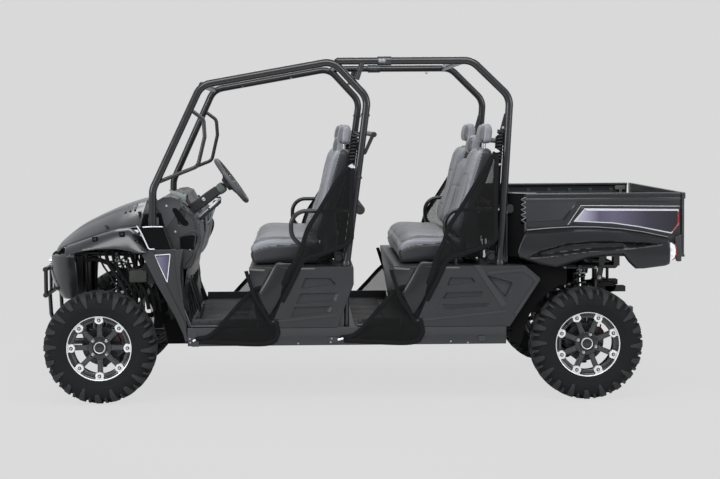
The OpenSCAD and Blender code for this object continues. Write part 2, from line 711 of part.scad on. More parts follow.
module shocks() {
    color(steel) both() {
        shock(fx, front_top_z);
        shock(rx, rear_top_z);
    }
}

// Upright at wheel x with its spindle; front ones carry a steering arm
module knuckle(x, steered) {
    difference() {
        union() {
            translate([x - 17, kp_y - 17, ball_low]) cube([34, 34, ball_up - ball_low]);
            translate([x, kp_y + 40, wz]) rotate([90, 0, 0]) cylinder(h = 52, r = 50);
            translate([x, wy - 8, wz]) rotate([90, 0, 0]) cylinder(h = wy - 8 - kp_y - 30, r = spindle_r);
            // brake caliper
            translate([x, kp_y + 22, wz]) rotate([90, 0, 0]) intersection() {
                difference() {
                    cylinder(h = 12, r = disc_r + 6);
                    translate([0, 0, -1]) cylinder(h = 14, r = 40);
                }
                translate([-120, 20, -1]) cube([90, 60, 20]);
            }
            if (steered)
                block([x - 108, kp_y - 16, rack_end_z + 12], [x - 8, kp_y + 12, rack_end_z + 26]);
        }
        // socket for the drive shaft's joint
        translate([x, kp_y + 30, wz]) rotate([90, 0, 0]) cylinder(h = 80, r = 33);
    }
}

module knuckle_left() {
    color(steel) knuckle(fx, true);
}

module knuckle_right() {
    color(steel) mirror([0, 1, 0]) knuckle(fx, true);
}

module rear_knuckles() {
    color(steel) both() knuckle(rx, false);
}

case_l = 150 - frame_r + 4 - seat_gap;   // between the cross tubes of a bulkhead

module powertrain() {
    color(steel) {
        // engine, transaxle and front differential
        block([rx + 524, -250, frame_z + frame_r + 8], [rx + 984, 250, 740]);
        for (x = [rx + 600, rx + 860])
            block([x, -rail_y, frame_z + frame_r + seat_gap], [x + 60, rail_y, frame_z + frame_r + 20]);
        block([rx + 100, -100, frame_z + frame_r + 6], [rx + 530, 100, frame_z + 155]);
        block([rx - case_l, -130, 238], [rx + case_l, 130, 470]);
        block([fx - 60, -105, wz - 85], [fx + 60, 105, wz + 85]);
        block([fx - case_l, -40, low_z - 12], [fx + case_l, 40, low_z]);
        rod([rx + 100, 0, wz - 9], [fx - 50, 0, wz - 9], 9);
        // radiator ahead of the front bulkhead
        block([fx + 150 + frame_r - 3 + seat_gap, -200, 470], [fx + 150 + frame_r + 34, 200, 800]);
        both() for (x = [fx, rx]) {
            rod([x, 100, wz], [x, kp_y, wz], 12);
            rod([x, 104, wz], [x, 160, wz], 36);
            translate([x, kp_y, wz]) sphere(r = 26);
        }
    }
}

module exhaust() {
    color(steel) {
        translate([rx - 236, 200, 600]) rotate([90, 0, 0]) cylinder(h = 330, r = 62);
        block([rx - 351, 80, 560], [rx - 240, 150, 596]);
        block([rx - 318, 10, 598], [rx - 240, 80, 630]);
        rod([rx - 236, -80, 600], [rx - 60, -80, 560], 22);
        // hanger under the frame's rear cross tube
        block([pivot_x - 8, -20, 640], [pivot_x + 8, 20, rear_top_z - frame_r + 4 - seat_gap]);
    }
}

// One wheel: the outer face looks towards +Y
module rim() {
    rb = rim_d / 2;
    half = rim_w / 2;
    rotate([-90, 0, 0]) {
        rotate_extrude($fn = 128) polygon([[rb - rim_wall - 1, -half], [rb + 13, -half], [rb + 13, -half + 6],
            [rb, -half + 10], [rb, -half + 45], [rb - 14, -half + 62], [rb - 14, half - 62], [rb, half - 45],
            [rb, half - 10], [rb + 13, half - 6], [rb + 13, half], [rb - rim_wall - 1, half],
            [rb - rim_wall, half - 42], [rb - 14 - rim_wall, half - 62], [rb - 14 - rim_wall, -half + 62],
            [rb - rim_wall, -half + 45]]);
        difference() {
            union() {
                translate([0, 0, half - 64]) cylinder(h = 26, r = 72);
                for (i = [0:spoke_count - 1]) rotate([0, 0, (i + 0.5) * 360 / spoke_count])
                    translate([60, -17, half - 58]) cube([rb - 60 - rim_wall + 1, 34, 18]);
                // hub sleeve and brake disc
                translate([0, 0, -20]) cylinder(h = half - 30, r = 34);
                translate([0, 0, -28]) cylinder(h = 9, r = disc_r);
            }
            translate([0, 0, -30]) cylinder(h = 29.5, r = spindle_r + run_gap);
            translate([0, 0, -1]) cylinder(h = 12, r = spindle_r + run_gap);
            for (i = [0:nut_count - 1]) rotate([0, 0, i * 360 / nut_count])
                translate([nut_pcd / 2, 0, half - 60]) cylinder(h = 40, r = 7);
        }
    }
}

module tyre() {
    rb = rim_d / 2 + seat_gap;
    ro = tyre_d / 2;
    w = tyre_w / 2;
    rotate([90, 0, 0]) rotate_extrude($fn = 128) polygon([[rb, -rim_w / 2 + 12], [rb + 24, -rim_w / 2 + 4],
        [rb + 40, -w + 8], [mix(rb, ro, 0.55), -w], [ro - 28, -w + 6], [ro - 8, -w + 26], [ro, -w + 60],
        [ro, w - 60], [ro - 8, w - 26], [ro - 28, w - 6], [mix(rb, ro, 0.55), w], [rb + 40, w - 8],
        [rb + 24, rim_w / 2 - 4], [rb, rim_w / 2 - 12], [rb, rim_w / 2 - 30], [rb + 26, rim_w / 2 - 16],
        [ro - 40, w - 20], [ro - 26, w - 50], [ro - 26, -w + 50], [ro - 40, -w + 20],
        [rb + 26, -rim_w / 2 + 16], [rb, -rim_w / 2 + 30]]);
}

module at_wheel(x, side) {
    translate([x, side * wy, wz]) mirror([0, side > 0 ? 0 : 1, 0]) children();
}

// ---- bed ----
module bed_floor() {
    color(black) {
        difference() {
            translate([0, 0, bed_floor_z - 8]) linear_extrude(8) both() polygon([[bed_back, -1],
                [bed_back, bed_y - bed_wall - seat_gap], [rx + 355, bed_y - bed_wall - seat_gap],
                [bed_nose - 12 - seat_gap, 615], [bed_nose - 12 - seat_gap, -1]]);
            for (i = [-9:9])
                block([bed_back + 40, i * 60 - 12, bed_floor_z - 3], [bed_nose - 60, i * 60 + 12, bed_floor_z + 1]);
        }
        both() {
            block([pivot_x - 40, bulkhead_y - 20, bed_rail_z], [bed_nose - 60, bulkhead_y + 20, bed_floor_z - 7]);
            difference() {
                side_plate([[pivot_x - 16, 830], [pivot_x - 16, pivot_z - 14], [pivot_x + 16, pivot_z - 14],
                    [pivot_x + 22, 830]], bulkhead_y - 18, bulkhead_y + 18);
                translate([pivot_x, bulkhead_y + 30, pivot_z]) rotate([90, 0, 0]) cylinder(h = 60, r = 10 + run_gap);
            }
            // tailgate hinge arms with their pins
            block([gate_axis[0] - 6, 446, gate_axis[2] - 8], [bed_back + 40, 454, bed_floor_z - 7]);
            translate([gate_axis[0], 470, gate_axis[2]]) rotate([90, 0, 0]) cylinder(h = 40, r = 6);
        }
        // lug and pin of the gas strut
        for (y = [strut_eye[1] - 20, strut_eye[1] + 14])
            side_plate([[strut_eye[0] - 16, strut_eye[2] - 12], [strut_eye[0] + 16, strut_eye[2] - 12],
                [strut_eye[0] + 16, bed_floor_z - 7], [strut_eye[0] - 16, bed_floor_z - 7]], y, y + 6);
    }
}

module bed_front() {
    color(black) {
        block([bed_nose - 12, -615, bed_floor_z - 20], [bed_nose, 615, bed_top + 15]);
        block([bed_nose - 22, -600, bed_top - 10], [bed_nose + 6, 600, bed_top + 15]);
    }
}

// Lower edge of the bed flare and its ridge, from the rear axle
flare_low = [[415, 832], [290, 791], [195, 773], [100, 801], [-3, 829], [-150, 845], [-211, 845], [-232, 804],
    [-275, 763], [-448, 779], [-460, 800]];
ridge = [[415, 983], [346, 985], [100, 1000], [-100, 990], [-300, 962], [-475, 935]];

module bed_sides() {
    color(black) both() {
        // wall with its chamfered front corner
        translate([0, 0, bed_floor_z - 50]) linear_extrude(bed_top - bed_floor_z + 50)
            polygon([[bed_nose - seat_gap - 12, 616], [bed_nose, 616], [bed_nose, 640], [rx + 365, bed_y],
                [bed_back, bed_y], [bed_back, bed_y - bed_wall], [rx + 358, bed_y - bed_wall],
                [bed_nose - seat_gap - 12, 630]]);
        block([bed_back, bed_y - bed_wall - 12, bed_top - 14], [rx + 360, bed_y + 8, bed_top]);
        skin([for (i = [10:-1:0]) let(x = flare_low[i][0], z = flare_low[i][1], t = lookup(x, ridge)) [
            [rx + x, bed_y - 6, t + 4], [rx + x, flare_y - 16, t - 16], [rx + x, flare_y, mix(t, z, 0.4)],
            [rx + x, flare_y - 2, mix(t, z, 0.8)], [rx + x, flare_y - 12, z]]], [0, -9, -4]);
    }
}

module tail_lights() {
    color(silver) both()
        side_plate([[rx - 462, 915], [rx - 500, 912], [rx - 510, 870], [rx - 500, 822], [rx - 462, 812]],
            bed_y + seat_gap, flare_y - 6);
}

module tailgate() {
    x0 = tail_x;
    color(black) difference() {
        union() {
            block([x0, -bed_y, gate_axis[2] - 12], [x0 + gate_t, bed_y, bed_top]);
            block([x0, -bed_y, bed_top - 30], [x0 + gate_t, bed_y, bed_top]);
        }
        // pressed panel on the outside
        block([x0 - 1, -600, 900], [x0 + 5, 600, 1130]);
        // pockets for the hinge arms, and the bores of their pins
        both() {
            block([x0 - 1, 440, gate_axis[2] - 20], [x0 + gate_t + 1, 460, bed_floor_z + 20]);
            translate([gate_axis[0], 480, gate_axis[2]]) rotate([90, 0, 0]) cylinder(h = 60, r = 6 + run_gap);
        }
    }
}

// ---- bed strut ----
strut_dir = unit(strut_eye - strut_foot);
strut_tube_l = 248;

module strut_tube() {
    color(black) difference() {
        union() {
            rod(strut_foot, strut_foot + strut_tube_l * strut_dir, 13);
            translate(strut_foot + [0, 14, 0]) rotate([90, 0, 0]) cylinder(h = 28, r = 17);
        }
        rod(strut_foot + 32 * strut_dir, strut_foot + (strut_tube_l + 1) * strut_dir, 8 + run_gap);
        translate(strut_foot + [0, 15, 0]) rotate([90, 0, 0]) cylinder(h = 30, r = strut_pin_r + run_gap);
    }
}

module strut_rod() {
    color(silver) {
        rod(strut_foot + 40 * strut_dir, strut_eye, 8);
        translate(strut_eye + [0, 10, 0]) rotate([90, 0, 0]) cylinder(h = 20, r = 12);
    }
}

module brush_guard() {
    color(black) {
        for (z = [592, 746])
            rod([guard_x, -350, z], [guard_x, 350, z], guard_r);
        both() {
            rod([guard_x, 330, 592], [guard_x, 330, 746], guard_r - 2);
            rod([guard_x, 150, 592], [guard_x, 150, 746], guard_r - 4);
            tube([[guard_x, 200, 592], [guard_x - 6, 196, 460], [fx + 300, bulkhead_y, low_z],
                [fx + 230 + seat_gap, bulkhead_y, low_z]], 40, guard_r - 2);
        }
    }
}

// ---- assembly ----
frame_rails();
front_frame();
rear_frame();
floor_pan();
side_sills();
cage_front();
cage_rear();
brush_guard();
front_fascia();
headlights();
hood();
front_fenders();
leg_panels();
dash();
driver_controls();
steering_wheel();
steering_rack();
seat_base_front();
seat_base_rear();
seat_cushions();
seat_backs();
headrests();
hip_bars();
side_nets();
powertrain();
exhaust();
front_arms();
rear_arms();
shocks();
knuckle_left();
knuckle_right();
rear_knuckles();
color(rubber) at_wheel(fx, 1) tyre();  // tyre_front_left
color(rubber) at_wheel(fx, -1) tyre();  // tyre_front_right
color(rubber) at_wheel(rx, 1) tyre();  // tyre_rear_left
color(rubber) at_wheel(rx, -1) tyre();  // tyre_rear_right
color(silver) at_wheel(fx, 1) rim();  // rim_front_left
color(silver) at_wheel(fx, -1) rim();  // rim_front_right
color(silver) at_wheel(rx, 1) rim();  // rim_rear_left
color(silver) at_wheel(rx, -1) rim();  // rim_rear_right
bed_floor();
bed_front();
bed_sides();
tail_lights();
tailgate();
strut_tube();
strut_rod();
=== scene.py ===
# %% [markdown]
# # A two-row side by side utility vehicle
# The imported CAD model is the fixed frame: its tubes, plates and joints are already in place and true to size.
# This lesson loads it, keeps the nodes whose shape is right, and builds the moulded panels, tyres, seats and
# nets around it in mesh code. Everything is in metres, +X forward, +Y to the vehicle's left, +Z up.

# %% Load the frame
import bmesh, bpy, math, random
from math import cos, pi, radians, sin
import numpy as np
from mathutils import Matrix, Vector
from mathutils.geometry import tessellate_polygon


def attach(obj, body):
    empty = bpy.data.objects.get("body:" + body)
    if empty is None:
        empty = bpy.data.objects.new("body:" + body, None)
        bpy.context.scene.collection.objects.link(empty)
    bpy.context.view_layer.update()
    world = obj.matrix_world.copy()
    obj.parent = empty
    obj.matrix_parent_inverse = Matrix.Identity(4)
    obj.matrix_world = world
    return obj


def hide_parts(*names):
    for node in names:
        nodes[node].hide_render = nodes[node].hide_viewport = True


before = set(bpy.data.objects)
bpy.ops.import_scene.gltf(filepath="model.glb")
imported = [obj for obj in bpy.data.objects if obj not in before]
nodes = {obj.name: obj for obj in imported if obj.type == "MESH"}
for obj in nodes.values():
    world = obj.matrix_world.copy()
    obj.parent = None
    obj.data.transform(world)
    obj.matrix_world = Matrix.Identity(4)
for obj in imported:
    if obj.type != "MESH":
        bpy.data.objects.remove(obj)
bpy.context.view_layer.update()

# %% [markdown]
# ## Camera
# The view is nearly square to the vehicle's left side, from nine metres away with a long lens, so that the
# far side shows just above and ahead of the near one. The small shift frames the vehicle without tilting
# it.

# %% Place the camera
def linked(name, data):
    """A new object with this data, linked to the scene."""
    o = bpy.data.objects.new(name, data)
    bpy.context.scene.collection.objects.link(o)
    return o


yaw, pitch, roll = 0.0184, 0.0484, -0.0062
look = Vector((-sin(yaw) * cos(pitch), -cos(yaw) * cos(pitch), -sin(pitch)))
right = look.cross(Vector((0, 0, 1))).normalized()
up = right.cross(look)
right, up = right * cos(roll) + up * sin(roll), up * cos(roll) - right * sin(roll)
camera = linked("camera", bpy.data.cameras.new("camera"))
camera.data.sensor_width, camera.data.lens = 36.0, 72.8
camera.data.shift_x, camera.data.shift_y = 0.0435, -0.0647
camera.matrix_world = Matrix.Translation((0.3328, 9.0852, 1.6181)) @ Matrix((right, up,
    -look)).transposed().to_4x4()
bpy.context.scene.camera = camera
bpy.context.scene.view_settings.view_transform = "Standard"
print("camera looks along", [round(v, 3) for v in look])

# %% [markdown]
# ## Light and ground
# A pale seamless floor and a bright overcast world give the black panels soft grey reflections. Two large
# soft lamps above and ahead draw the long highlights that show where a black surface bends.

# %% Colour and node helpers
def linear(code, alpha=1.0):
    """The linear colour of an sRGB hex value."""
    c = [int(code[i:i + 2], 16) / 255 for i in (1, 3, 5)]
    return tuple(v / 12.92 if v <= 0.04045 else ((v + 0.055) / 1.055) ** 2.4 for v in c) + (alpha,)


def add(tree, kind, settings=None, **links):
    """Adds a node, sets its attributes or sockets, and links other nodes' sockets into it."""
    n = tree.nodes.new("ShaderNode" + kind)
    for key, value in (settings or {}).items():
        if isinstance(key, str) and hasattr(n, key):
            setattr(n, key, value)
        else:
            n.inputs[key].default_value = value
    for key, source in links.items():
        tree.links.new(source, n.inputs[int(key[1:]) if key[0] == "i" and key[1:].isdigit()
            else key.replace("_", " ")])
    return n


def blank(name):
    """An empty node material and its tree."""
    m = bpy.data.materials.new(name)
    m.use_nodes = True
    m.node_tree.nodes.clear()
    return m, m.node_tree


# %% World, floor and lamps
BACKDROP = "#D9D9D9"
world = bpy.data.worlds.new("overcast")
bpy.context.scene.world = world
world.use_nodes = True
t = world.node_tree
t.nodes.clear()
rays = add(t, "LightPath")
seen = add(t, "Math", {"operation": "MAXIMUM"}, i0=rays.outputs["Is Camera Ray"],
    i1=rays.outputs["Is Transmission Ray"])
sky = add(t, "Background", {"Color": linear("#F2F4F7"), "Strength": 0.62})
plain = add(t, "Background", {"Color": linear(BACKDROP), "Strength": 1.0})
mixed = add(t, "MixShader", {}, i0=seen.outputs[0], i1=sky.outputs[0], i2=plain.outputs[0])
add(t, "OutputWorld", {}, Surface=mixed.outputs[0])


def lamp(name, where, aim, size, watts):
    """A large soft lamp pointed at a place on the vehicle."""
    data = bpy.data.lights.new(name, "AREA")
    data.shape, data.size, data.size_y, data.energy = "RECTANGLE", size[0], size[1], watts
    o = linked(name, data)
    o.location = where
    o.rotation_euler = (Vector(aim) - Vector(where)).to_track_quat("-Z", "Y").to_euler()
    o.visible_camera = False


lamp("over_left", (0.3, 3.6, 5.2), (0, 0.3, 0.8), (6.5, 2.0), 260)
lamp("front_left", (6.0, 4.5, 3.0), (0.8, 0, 0.8), (2.5, 2.5), 150)
lamp("rear_left", (-6.0, 4.0, 3.0), (-1.0, 0, 0.8), (2.5, 2.5), 110)
lamp("over_right", (0, -4.5, 5.0), (0, 0, 0.9), (6.0, 2.0), 120)

floor_mat, t = blank("paper_floor")
rays = add(t, "LightPath")
lit = add(t, "BsdfDiffuse", {"Color": linear("#E2E2E2")})
flat = add(t, "Emission", {"Color": linear(BACKDROP), "Strength": 1.0})
away = add(t, "VectorMath", {"operation": "LENGTH"}, i0=add(t, "TexCoord").outputs["Object"])
fade = add(t, "MapRange", {"From Min": 2.2, "From Max": 4.5, "To Min": 0.95, "To Max": 1.0},
    Value=away.outputs["Value"])
share = add(t, "Math", {"operation": "MULTIPLY"}, i0=rays.outputs["Is Camera Ray"], i1=fade.outputs[0])
both = add(t, "MixShader", {}, i0=share.outputs[0], i1=lit.outputs[0], i2=flat.outputs[0])
add(t, "OutputMaterial", {}, Surface=both.outputs[0])
me = bpy.data.meshes.new("floor")
me.from_pydata([(-60, -60, 0), (60, -60, 0), (60, 30, 0), (-60, 30, 0)], [], [(0, 1, 2, 3)])
me.materials.append(floor_mat)
linked("floor", me)

# %% [markdown]
# ## Mesh helpers
# Each piece is gathered as points and faces in one `Shape`, with a material number for each face, and is
# turned into an object once. Sheets are grids of points, tubes are swept rings and turned parts are
# revolved profiles.

# %% The Shape class
def pairs(*values):
    """Points (a, b) in metres from a flat row of millimetres: an outline, a section or a turned profile."""
    return [(a / 1000, b / 1000) for a, b in zip(values[::2], values[1::2])]


def triples(*values):
    """Points (x, y, z) in metres from a flat row of millimetres."""
    return [(x / 1000, y / 1000, z / 1000) for x, y, z in zip(values[::3], values[1::3], values[2::3])]


class Shape:
    """Points, faces and face materials of one piece."""

    def __init__(self):
        self.v, self.f, self.m = [], [], []

    def add(self, verts, faces, m=0):
        n = len(self.v)
        self.v += [tuple(p) for p in verts]
        self.f += [tuple(i + n for i in f) for f in faces]
        self.m += [m] * len(faces)

    def prism(self, near, far, m=0):
        """Two flat outlines with the same number of points, closed and joined by a band of faces."""
        n = len(near)
        sides = [(i, (i + 1) % n, n + (i + 1) % n, n + i) for i in range(n)]
        self.add([*near, *far], [tuple(range(n))[::-1], tuple(range(n, 2 * n))] + sides, m)

    def plate(self, outline, y0, y1, m=0):
        """A side outline of (x, z) points, from y0 to y1."""
        area = sum(a[0] * b[1] - b[0] * a[1] for a, b in zip([outline[-1], *outline], outline))
        if (area > 0) == (y1 > y0):
            outline = outline[::-1]
        self.prism([(x, y0, z) for x, z in outline], [(x, y1, z) for x, z in outline], m)

    def box(self, lo, hi, m=0):
        self.plate([(lo[0], lo[2]), (hi[0], lo[2]), (hi[0], hi[2]), (lo[0], hi[2])], lo[1], hi[1], m)

    def beam(self, profile, x0, x1, m=0):
        """An end profile of (y, z) points, drawn along the vehicle from x0 to x1."""
        self.prism([(x1, y, z) for y, z in profile], [(x0, y, z) for y, z in profile], m)

    def panel(self, outline, y_back, y_face, holes=(), m=0):
        """A side plate with pockets in its face; each pocket is (outline, depth, floor material, shrink)."""
        loops = [outline] + [h[0] for h in holes]
        flat = [(x, y_face, z) for loop in loops for x, z in loop]
        self.add(flat, tessellate_polygon([[Vector((x, z, 0)) for x, z in loop] for loop in loops]), m)
        n = len(outline)
        sides = [(i, (i + 1) % n, n + (i + 1) % n, n + i) for i in range(n)]
        self.add([(x, y_face, z) for x, z in outline] + [(x, y_back, z) for x, z in outline],
            sides + [tuple(range(n, 2 * n))], m)
        for loop, depth, floor_m, shrink in holes:
            mid = np.mean(loop, axis=0)
            inner = [tuple(mid + (np.array(p) - mid) * shrink) for p in loop]
            y = y_face - math.copysign(depth, y_face)
            n = len(loop)
            self.add([(x, y_face, z) for x, z in loop] + [(x, y, z) for x, z in inner],
                     [(i, (i + 1) % n, n + (i + 1) % n, n + i) for i in range(n)], m)
            self.add([(x, y, z) for x, z in inner], [tuple(range(n))], floor_m)

    def grid(self, rows, m=0, closed=False):
        """A sheet through rows of points; closed joins each row's ends."""
        n, k = len(rows), len(rows[0])
        span = k if closed else k - 1
        faces = [(i * k + j, i * k + (j + 1) % k, (i + 1) * k + (j + 1) % k, (i + 1) * k + j)
                 for i in range(n - 1) for j in range(span)]
        self.add([p for r in rows for p in r], faces, m)

    def tube(self, path, r, m=0, sides=12, cap=True, flat=1.0):
        """A round tube along path; r is one radius or one for each point, and flat squeezes it across."""
        path = [Vector(p) for p in path]
        radii = r if isinstance(r, (list, tuple)) else [r] * len(path)
        rows, side = [], None
        for i, p in enumerate(path):
            d = (path[min(i + 1, len(path) - 1)] - path[max(i - 1, 0)]).normalized()
            if side is None:
                side = d.orthogonal().normalized() if abs(d.y) > 0.9 else d.cross(
                    Vector((0, 1, 0))).normalized()
            side = (side - d * side.dot(d)).normalized()
            other = d.cross(side)
            rows.append([p + radii[i] * (cos(a) * side + flat * sin(a) * other)
                         for a in (2 * pi * s / sides for s in range(sides))])
        self.grid(rows, m, closed=True)
        if cap:
            for row, turn in ((rows[0], 1), (rows[-1], -1)):
                self.add(row, [tuple(range(sides))[::-turn]], m)

    def lathe(self, profile, where=(0, 0, 0), axis=(0, 1, 0), m=0, steps=48):
        """A profile of (radius, height) turned about an axis through where."""
        d = Vector(axis).normalized()
        u = d.orthogonal().normalized()
        w = d.cross(u)
        rows = [[Vector(where) + d * h + r * (cos(a) * u + sin(a) * w)
                 for r, h in profile] for a in (2 * pi * s / steps for s in range(steps))]
        self.grid(rows + [rows[0]], m)

    def bolt(self, where, axis=(0, 1, 0), r=0.007, m=0, washer=True):
        """A hex head with its washer, standing on a surface."""
        d = Vector(axis).normalized()
        if washer:
            self.lathe([(0, 0), (r * 1.5, 0), (r * 1.5, r * 0.22), (r * 1.38, r * 0.34), (0, r * 0.34)],
                where, d, m, 16)
        w = Vector(where) + d * r * 0.3
        self.lathe([(r, 0), (r, r * 0.72), (r * 0.86, r * 0.95), (0, r * 0.95)], w, d, m, 6)

    def mirrored(self):
        """Adds the same piece on the other side of the vehicle."""
        n = len(self.v)
        self.v += [(x, -y, z) for x, y, z in self.v]
        self.f += [tuple(i + n for i in f)[::-1] for f in self.f]
        self.m += list(self.m)
        return self

    def build(self, name, mats, body="chassis", bevel=0, smooth=35, subdiv=0, thick=0, segments=2,
            standin=(), slot=None):
        """The finished object, riding on its body."""
        me = bpy.data.meshes.new(name)
        me.from_pydata(self.v, [], self.f)
        me.validate()
        for mat in mats:
            me.materials.append(mat)
        me.polygons.foreach_set("material_index", self.m[:len(me.polygons)])
        o = linked(name, me)
        weld(me)
        me.shade_smooth()
        me.set_sharp_from_angle(angle=radians(smooth))
        if thick:
            s = o.modifiers.new("wall", "SOLIDIFY")
            s.thickness, s.offset = thick, -1
        if bevel:
            b = o.modifiers.new("edges", "BEVEL")
            b.width, b.segments, b.limit_method, b.angle_limit = bevel, segments, "ANGLE", radians(smooth)
            b.harden_normals = False
        if subdiv:
            s = o.modifiers.new("smooth", "SUBSURF")
            s.levels = s.render_levels = subdiv
        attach(o, body)
        if standin:
            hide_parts(*standin)
        return o


def weld(me, gap=1e-5):
    """Joins points that lie on each other and turns the faces outwards."""
    bm = bmesh.new()
    bm.from_mesh(me)
    bmesh.ops.remove_doubles(bm, verts=bm.verts, dist=gap)
    bmesh.ops.recalc_face_normals(bm, faces=bm.faces)
    bm.to_mesh(me)
    bm.free()


def spline(points, n):
    """n points on a smooth curve through the given ones, evenly spread along it."""
    p = np.array(points, float)
    p = np.vstack([2 * p[0] - p[1], p, 2 * p[-1] - p[-2]])
    out = []
    for i in range(1, len(p) - 2):
        for s in np.linspace(0, 1, 12, endpoint=False):
            a, b, c, d = p[i - 1:i + 3]
            out.append(0.5 * (2 * b + (c - a) * s + (2 * a - 5 * b + 4 * c - d) * s ** 2 +
                (3 * b - a - 3 * c + d) * s ** 3))
    out = np.array(out + [p[-2]])
    at = np.r_[0, np.cumsum(np.linalg.norm(np.diff(out, axis=0), axis=1))]
    want = np.linspace(0, at[-1], n)
    return [tuple(float(np.interp(w, at, out[:, k])) for k in range(out.shape[1])) for w in want]


def step(a, b, x):
    t = min(1, max(0, (x - a) / (b - a)))
    return t * t * (3 - 2 * t)


def lerp(table, x):
    """The value at x on a line through (x, value) pairs."""
    xs, ys = zip(*sorted(table))
    return float(np.interp(x, xs, ys))


print("mesh helpers ready")

# %% [markdown]
# ## Finishes
# Nearly everything on this vehicle is black, so the finishes differ by gloss and by texture rather than by
# colour. One function lays down what they share: two close tints in broad soft patches, a roughness that
# drifts with them, a fine grain in the bump and a little wear along the edges. Scales are real sizes in
# millimetres.

# %% A shared recipe for moulded, painted and cast surfaces
def surface(name, dark, light, rough, metallic=0.0, coat=0.0, patch=140.0, grain=2.0, depth=0.12, cells=False,
            drift=0.06, wear=None, sheen=0.0, shine=0.5):
    """A finish from two tints, with its patches and grain in millimetres."""
    m, t = blank(name)
    place = add(t, "TexCoord").outputs["Object"]
    patches = add(t, "TexNoise", {"Scale": 1000 / patch, "Detail": 3.0}, Vector=place)
    if cells:
        tooth = add(t, "TexVoronoi", {"Scale": 1000 / grain, "feature": "DISTANCE_TO_EDGE"}, Vector=place)
    else:
        tooth = add(t, "TexNoise", {"Scale": 1000 / grain, "Detail": 2.0}, Vector=place)
    tint = add(t, "Mix", {"data_type": "RGBA", 6: linear(dark), 7: linear(light)}, i0=patches.outputs[0])
    colour = tint.outputs[2]
    if wear:
        edge = add(t, "MapRange", {"From Min": 0.53, "From Max": 0.62},
            Value=add(t, "NewGeometry").outputs["Pointiness"])
        worn = add(t, "Mix", {"data_type": "RGBA", 7: linear(wear)}, i0=edge.outputs[0], i6=colour)
        colour = worn.outputs[2]
    gloss = add(t, "MapRange", {"To Min": rough - drift, "To Max": rough + drift}, Value=patches.outputs[0])
    bump = add(t, "Bump", {"Strength": depth, "Distance": grain / 4000}, Height=tooth.outputs[0])
    shader = add(t, "BsdfPrincipled", {"Metallic": metallic, "Coat Weight": coat, "Coat Roughness": 0.12,
                                       "Sheen Weight": sheen, "Specular IOR Level": shine},
                 Base_Color=colour, Roughness=gloss.outputs[0], Normal=bump.outputs[0])
    add(t, "OutputMaterial", {}, Surface=shader.outputs[0])
    return m


# Polypropylene moulded against a polished mould: body panels, soft wide reflections
bed_gloss = surface("moulded_bed_polypropylene", "#0B0C0E", "#101114", 0.36, coat=0.15, grain=3.0,
    depth=0.04, wear="#2A2C30", shine=0.4)
# Painted shade: matt near-black laid in recesses, hollows and turned-away faces that no light reaches
painted_shade_black = surface("painted_shade_matt_black", "#0D0D0E", "#141415", 0.95, grain=4.0, depth=0.1, shine=0.05)
# The same moulding on the hood and the fenders, its tints raised as painted light where it faces the sky
body_gloss_painted_lighter = surface("gloss_polypropylene_painted_lighter", "#1B1C1F", "#24262A", 0.3, coat=0.25, grain=3.0,
    depth=0.04, wear="#3A3C40")
# Polypropylene moulded against an etched mould: trim panels with a leathery grain
grained = surface("grained_polypropylene", "#1A1B1D", "#242529", 0.44, grain=5.0, depth=0.3, cells=True,
    wear="#38393C")
# Steel tube under satin powder coat: a faint orange peel and a lamp line down each tube
powder = surface("powder_coated_steel", "#0D0E10", "#141518", 0.32, coat=0.25, grain=4.0, depth=0.06,
    wear="#2E3034")
# Carbon-black tyre rubber, moulded: dull, slightly dusty in the hollows
tread = surface("moulded_tyre_rubber", "#121314", "#1C1D1F", 0.72, grain=6.0, depth=0.5, drift=0.1,
    wear="#2C2D2F", shine=0.3)
# The carcass between and below the lugs: matt, and darker than the lugs
carcass_rubber = surface("carcass_rubber", "#101112", "#18191B", 0.8, grain=3.0, depth=0.4, drift=0.08,
    shine=0.2)
# Soft rubber, for grips, bushes and boots
rubber = surface("soft_rubber", "#17181A", "#222326", 0.7, grain=2.5, depth=0.3, cells=True)
# Cast aluminium, tumbled: grey with a sandy skin
cast = surface("cast_aluminium", "#3E4043", "#54575A", 0.48, metallic=0.85, grain=4.0, depth=0.4)
# Machined aluminium: bright, finely turned
machined = surface("machined_aluminium", "#D2D4D6", "#ECEDEE", 0.42, metallic=0.55, grain=3.0, depth=0.15)
# Zinc-plated steel: bolts, pins and brackets
zinc = surface("zinc_plated_steel", "#A9ACB0", "#C3C6C9", 0.36, metallic=0.9, grain=2.0, depth=0.1)
# Gloss black enamel baked on the wheels
enamel = surface("baked_black_enamel", "#070708", "#0D0D0F", 0.24, coat=0.4, grain=5.0, depth=0.03,
    wear="#2A2B2E")
# Red caliper paint, slightly dirty
caliper_red = surface("red_caliper_paint", "#5E1D1B", "#7E2A26", 0.4, grain=3.0, depth=0.2)
# Hard-chromed rod and polished metal
chrome = surface("hard_chrome", "#D9DBDD", "#ECEDEE", 0.1, metallic=1.0, grain=3.0, depth=0.03, drift=0.03)
# Heat-stained exhaust steel
exhaust_steel = surface("heat_stained_steel", "#1E1C1A", "#2E2B28", 0.45, metallic=0.8, grain=6.0, depth=0.25)
# Hose, cable sleeve and the dark insides of the front end; also the painted shade over the channel round the
# bed's film
dark_plastic_and_shade = surface("dark_plastic_and_painted_shade", "#111214", "#191A1C", 0.55, grain=4.0, depth=0.2)
# Grey-green reservoir and battery box plastic
pale_plastic = surface("pale_polyethylene", "#4C4E4A", "#62645F", 0.5, grain=4.0, depth=0.15)
# Smoke-grey plastic of the column's collar and the gauge hood
smoke_plastic = surface("smoke_grey_nylon", "#4A5452", "#5E6966", 0.5, grain=4.0, depth=0.12)
# Soft polyurethane skin of the steering wheel: grey, matt, polished by hands
wheel_grip = surface("polyurethane_grip", "#3A3B3D", "#4C4D50", 0.5, grain=3.0, depth=0.25, cells=True,
    wear="#6A6B6E")
